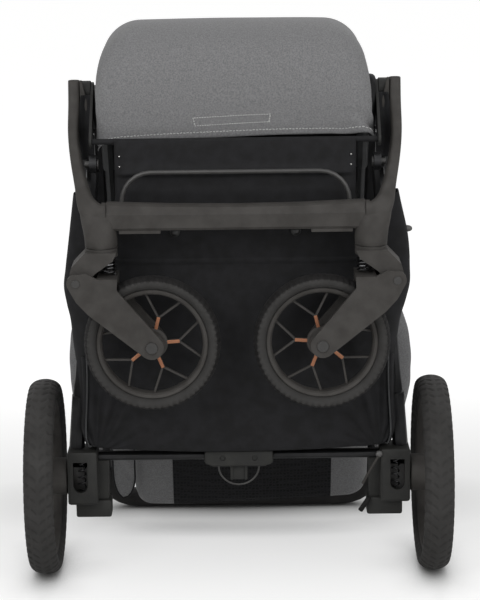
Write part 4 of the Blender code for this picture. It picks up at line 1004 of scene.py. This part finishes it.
def pan_point(across, up):
    """Front of the pan's cover, with a slack fold across its middle."""
    z = 0.6340 - 0.0980 * (1 - up)
    lap = z - 0.5880 + 0.0020 * uneven(across * 2.0, 0.0, 7.0)
    puff = 0.0048 * math.exp(-(lap / 0.011) ** 2) if lap > 0 else 0.0048 * math.exp(-(lap / 0.0035) ** 2)
    low_puff = 0.0035 * math.exp(-((z - 0.565) / 0.014) ** 2)
    slack = 0.0012 * uneven(across * 3.0, z * 25, 1.0)
    edge = min(1.0, (1 - abs(across)) * 12)
    return Vector((0.1655 * across, -0.1462 - (puff + low_puff + slack + 0.0012) * edge, z))


cover = panel("seat_pan_cover", 90, 70, pan_point, (0.0, 0.0, 0.58), black_cloth, 0.0012)
attached(cover, "seat_pan")

# Hood: grey melange polyester, laminated black inside, sewn over two bows and stretched smooth.
# Its front edge is a folded hem with a row of pale stitches, puckered a little where it is sewn, at
# SEAM_MM from the edge. HOOD_MM is the length from that edge over the top to the back.
HOOD_PIVOT = Vector((0.0, 0.049253, 0.416442))
hood_side = ((-0.127, 0.6325), (-0.134, 0.688), (-0.1285, 0.733), (-0.108, 0.765), (-0.070, 0.783),
             (-0.027, 0.787), (0.023, 0.781))
hood_line = [Vector((0.0, y, z)) for y, z in hood_side]
HOOD_MM = 312.0
SEAM_MM = 8.3


def hood_point(across, up):
    """Point of the hood: across runs from -1 at the left edge to 1, up from the hem to the back."""
    middle = along_line(hood_line, up)
    outward = middle - HOOD_PIVOT
    radius = outward.length
    outward.normalize()
    narrow = min(1.0, max(0.0, (up - 0.24) / 0.50))
    narrow = narrow * narrow * (3 - 2 * narrow)
    half = 0.1895 - 0.0078 * narrow
    depth = radius - 0.2700
    x, down, out, rise = over_corner(across, half, depth, min(depth, 0.028 + 0.025 * narrow))
    side = math.copysign(1.0, across)
    hem = up * HOOD_MM
    seam = math.exp(-((hem - SEAM_MM) / 1.6) ** 2)
    pucker = 0.0005 * math.sin(x * side * 760.0) * math.exp(-((hem - SEAM_MM) / 6.0) ** 2)
    corner_folds = max(0.0, abs(across) - 0.62) * max(0.0, 1 - up * 2.6) * 0.026
    crease = corner_folds * uneven(x * 22 + hem * 0.05, hem * 0.028 - x * 9, side)
    slack = 0.0012 * uneven(x * side * 9.0, up * 5.0, 3.0)
    swell = crease + slack + pucker - 0.0008 * seam + (0.0008 if hem < SEAM_MM else 0.0)
    crown = 0.003 * (1 - (x / half) ** 2)
    skew = (0.0062 * across - 0.0022 * across ** 4) * max(0.0, 1 - up * 2.0) ** 2
    x = side * (x + out * swell) - 0.0028 * min(1.0, up * 2)
    return HOOD_PIVOT + outward * (radius - down + crown + rise * swell) + Vector((x, 0, skew))


canopy = panel("hood_canopy", 120, 150, hood_point, HOOD_PIVOT, melange, 0.0018)
canopy.data.materials.append(black_cloth)
canopy.modifiers["Thickness"].material_offset = 1
canopy.modifiers["Thickness"].material_offset_rim = 0
stand_in(canopy, "hood")

thread = grainy("polyester thread, pale grey", "#a9a9a8", "#bcbcba", 0.7, 1.0, 0.2)


def stitches(name, points, material, body):
    """Row of stitches: small bars, each from one point of a list to the next, the points taken in pairs."""
    bm = bmesh.new()
    for (start, normal), (end, _) in zip(points[::2], points[1::2]):
        along = end - start
        turn = along.to_track_quat("X", "Z").to_matrix().to_4x4()
        size = Matrix.Diagonal((along.length * 1.25, 0.0018, 0.0010, 1.0))
        middle = (start + end) / 2 + normal * 0.0002
        bmesh.ops.create_cube(bm, size=1.0, matrix=Matrix.Translation(middle) @ turn @ size)
    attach(mesh_piece(name, bm, material, smooth=False), body)


def on_hood(across, up):
    """Point and outward direction on the hood."""
    here = hood_point(across, up)
    right = hood_point(across + 0.004, up) - hood_point(across - 0.004, up)
    upward = hood_point(across, up + 0.004) - hood_point(across, max(0.0, up - 0.004))
    normal = right.cross(upward).normalized()
    if normal.dot(here - HOOD_PIVOT) < 0:
        normal.negate()
    return here, normal


hem_line = [on_hood(-0.97 + 1.94 * step / 170, 0.0265) for step in range(170)]
stitches("hood_hem_stitches", hem_line, thread, "hood")
patch = []
patch_sides = (((-0.268, 0.053), (0.232, 0.058), 60), ((0.232, 0.058), (0.232, 0.090), 6),
               ((0.232, 0.090), (-0.268, 0.085), 60), ((-0.268, 0.085), (-0.268, 0.053), 6))
for (a0, u0), (a1, u1), count in patch_sides:
    patch += [on_hood(a0 + (a1 - a0) * step / count, u0 + (u1 - u0) * step / count) for step in range(count)]
stitches("hood_patch_stitches", patch, thread, "hood")

# Lining and gussets of the hood: black polyester. The lining hangs between the telescopic legs, and
# a black gusset bulges out of the grey cover at each side.
LEG_LINE = Vector((0.0, math.cos(math.radians(124.0)), math.sin(math.radians(124.0))))
BEHIND_LEG = Vector((0.0, LEG_LINE.z, -LEG_LINE.y))


def lining_point(across, up):
    """Lining behind the hood's legs, slightly slack."""
    slack = 0.0025 * uneven(across * 5.0, up * 3.0, 9.0)
    return (HOOD_PIVOT + LEG_LINE * (0.1000 + 0.1680 * up) + BEHIND_LEG * (0.0140 + slack)
            + Vector((0.1950 * across, 0.0, 0.0)))


lining = panel("hood_lining", 60, 24, lining_point, (0.0, 0.5, 0.5), black_cloth, 0.0012)
attached(lining, "hood")
for tag, side, high, low in (("l", -1.0, 0.6890, 0.6280), ("r", 1.0, 0.7130, 0.6300)):
    def strip_point(across, up):
        """Edge strip of the lining, along the outside of a leg."""
        ripple = 0.0010 * uneven(up * 9.0, across, side)
        flare = 0.0032 * min(1.0, max(0.0, (0.66 - up) / 0.08))
        return (HOOD_PIVOT + LEG_LINE * (0.0800 + 0.1950 * up) + BEHIND_LEG * ripple
                + Vector((side * (0.1906 + flare + (0.0050 + flare) * across), 0.0, 0.0)))

    strip = panel(f"hood_lining_edge_{tag}", 8, 50, strip_point, (0.0, 0.5, 0.5), black_cloth, 0.0012, 0.0)
    attached(strip, "hood")
    bm = bmesh.new()
    bmesh.ops.create_uvsphere(bm, u_segments=40, v_segments=24, radius=1.0)
    for vert in bm.verts:
        x, y, z = vert.co
        pinch = 0.0010 * uneven(y * 3, z * 3, side)
        ring = math.sqrt(max(0.0025, 1 - z * z))
        boxy = ring ** 0.35 / ring
        vert.co = Vector((side * (0.1887 + pinch) + 0.0098 * x * boxy, -0.0720 + 0.0290 * y * boxy,
                          (high + low) / 2 + (high - low) / 2 * z))
    bmesh.ops.recalc_face_normals(bm, faces=bm.faces)
    gusset = mesh_piece(f"hood_gusset_{tag}", bm, black_cloth)
    attached(gusset, "hood")

# Rivets of the seat pan, two near each upper corner: small nickel-plated heads.
nickel = grainy("nickel-plated steel", "#b4b3b0", "#c6c5c2", 0.25, 1.0, 0.1, Metallic=1.0)
rivets = [((side * 0.1585, -0.1490, z), (0.0, -1.0, 0.0), 0.0013, 0.0014, 0.0)
          for side in (-1.0, 1.0) for z in (0.5985, 0.6125)]
buttons("seat_pan_rivets", rivets, nickel, "seat_pan")

# Flanges of the handle hinges: the front arm's moulding folds over the hinge, and a black boot of
# cloth closes the space between the arm and the hinge plates below it.
def plate(name, outline, side, depths, material, edge, body):
    """Flat moulding: an outline of (x, z) points, from one depth to the other, with its edges rounded."""
    bm = lofted([[Vector((side * x, y, z)) for x, z in outline] for y in depths])
    attached(beveled(mesh_piece(name, bm, material), edge), body)


flange_outline = ((0.2145, 0.7105), (0.2115, 0.7105), (0.2090, 0.6990), (0.2045, 0.6800), (0.2045, 0.6640),
                  (0.2145, 0.6480))
for tag, side in SIDES:
    plate(f"hinge_flange_{tag}", flange_outline, side, (-0.0865, -0.0828), nylon, 0.0009, "front_frame")

    def boot_point(across, up):
        """Boot beside the hinge: it follows the arm's inner edge."""
        z = 0.6000 + 0.0900 * up
        outer = 0.2130 + 0.0048 * math.sin(math.pi * up)
        inner = 0.1965
        x = inner + (outer - inner) * (across + 1) / 2
        return Vector((side * x, -0.0885 + 0.0020 * math.cos(3 * across) + 0.0015 * math.sin(up * 9), z))

    boot = panel(f"hinge_boot_{tag}", 14, 36, boot_point, (0.0, 0.4, 0.65), black_cloth, 0.0015, 0.0)
    attached(boot, "front_frame")

# Covers between the axle brackets and the backrest: thin mouldings of black nylon, rounded below, in the
# darker copy of the nylon that paints the shade under the basket.
cover_outline = ((0.1860, 0.1640), (0.2080, 0.1640), (0.2080, 0.0960), (0.2040, 0.0900), (0.1930, 0.0900),
                 (0.1880, 0.0960))
for tag, side in SIDES:
    plate(f"axle_cover_{tag}", cover_outline, side, (-0.0860, -0.0700), nylon_darkened_below, 0.0015, "rear_frame")

# Parking strut at the right end of the axle: a round grey pin, a thin rod and a rubber foot.
rod = [Vector((x, -0.1150, z)) for x, z in ((0.1990, 0.1735), (0.1870, 0.1530), (0.1765, 0.1330))]
swept("strut_rod", rod, 0.0019, nylon, "rear_frame")
buttons("strut_pin", [((0.2000, -0.1125, 0.1760), (0.0, -1.0, 0.15), 0.0050, 0.0035, 0.0)],
        grey_nylon, "rear_frame")
bm = spun([(0.0006, -0.0120), (0.0028, -0.0120), (0.0036, -0.0112), (0.0036, 0.0112), (0.0028, 0.0120),
           (0.0006, 0.0120)], 28)
stand_up(bm, (0.1803, -0.1000, 0.0980), Vector((0.55, 0.0, 0.83)).normalized(), bm.verts)
attached(mesh_piece("strut_foot", bm, darker_rubber), "rear_frame")
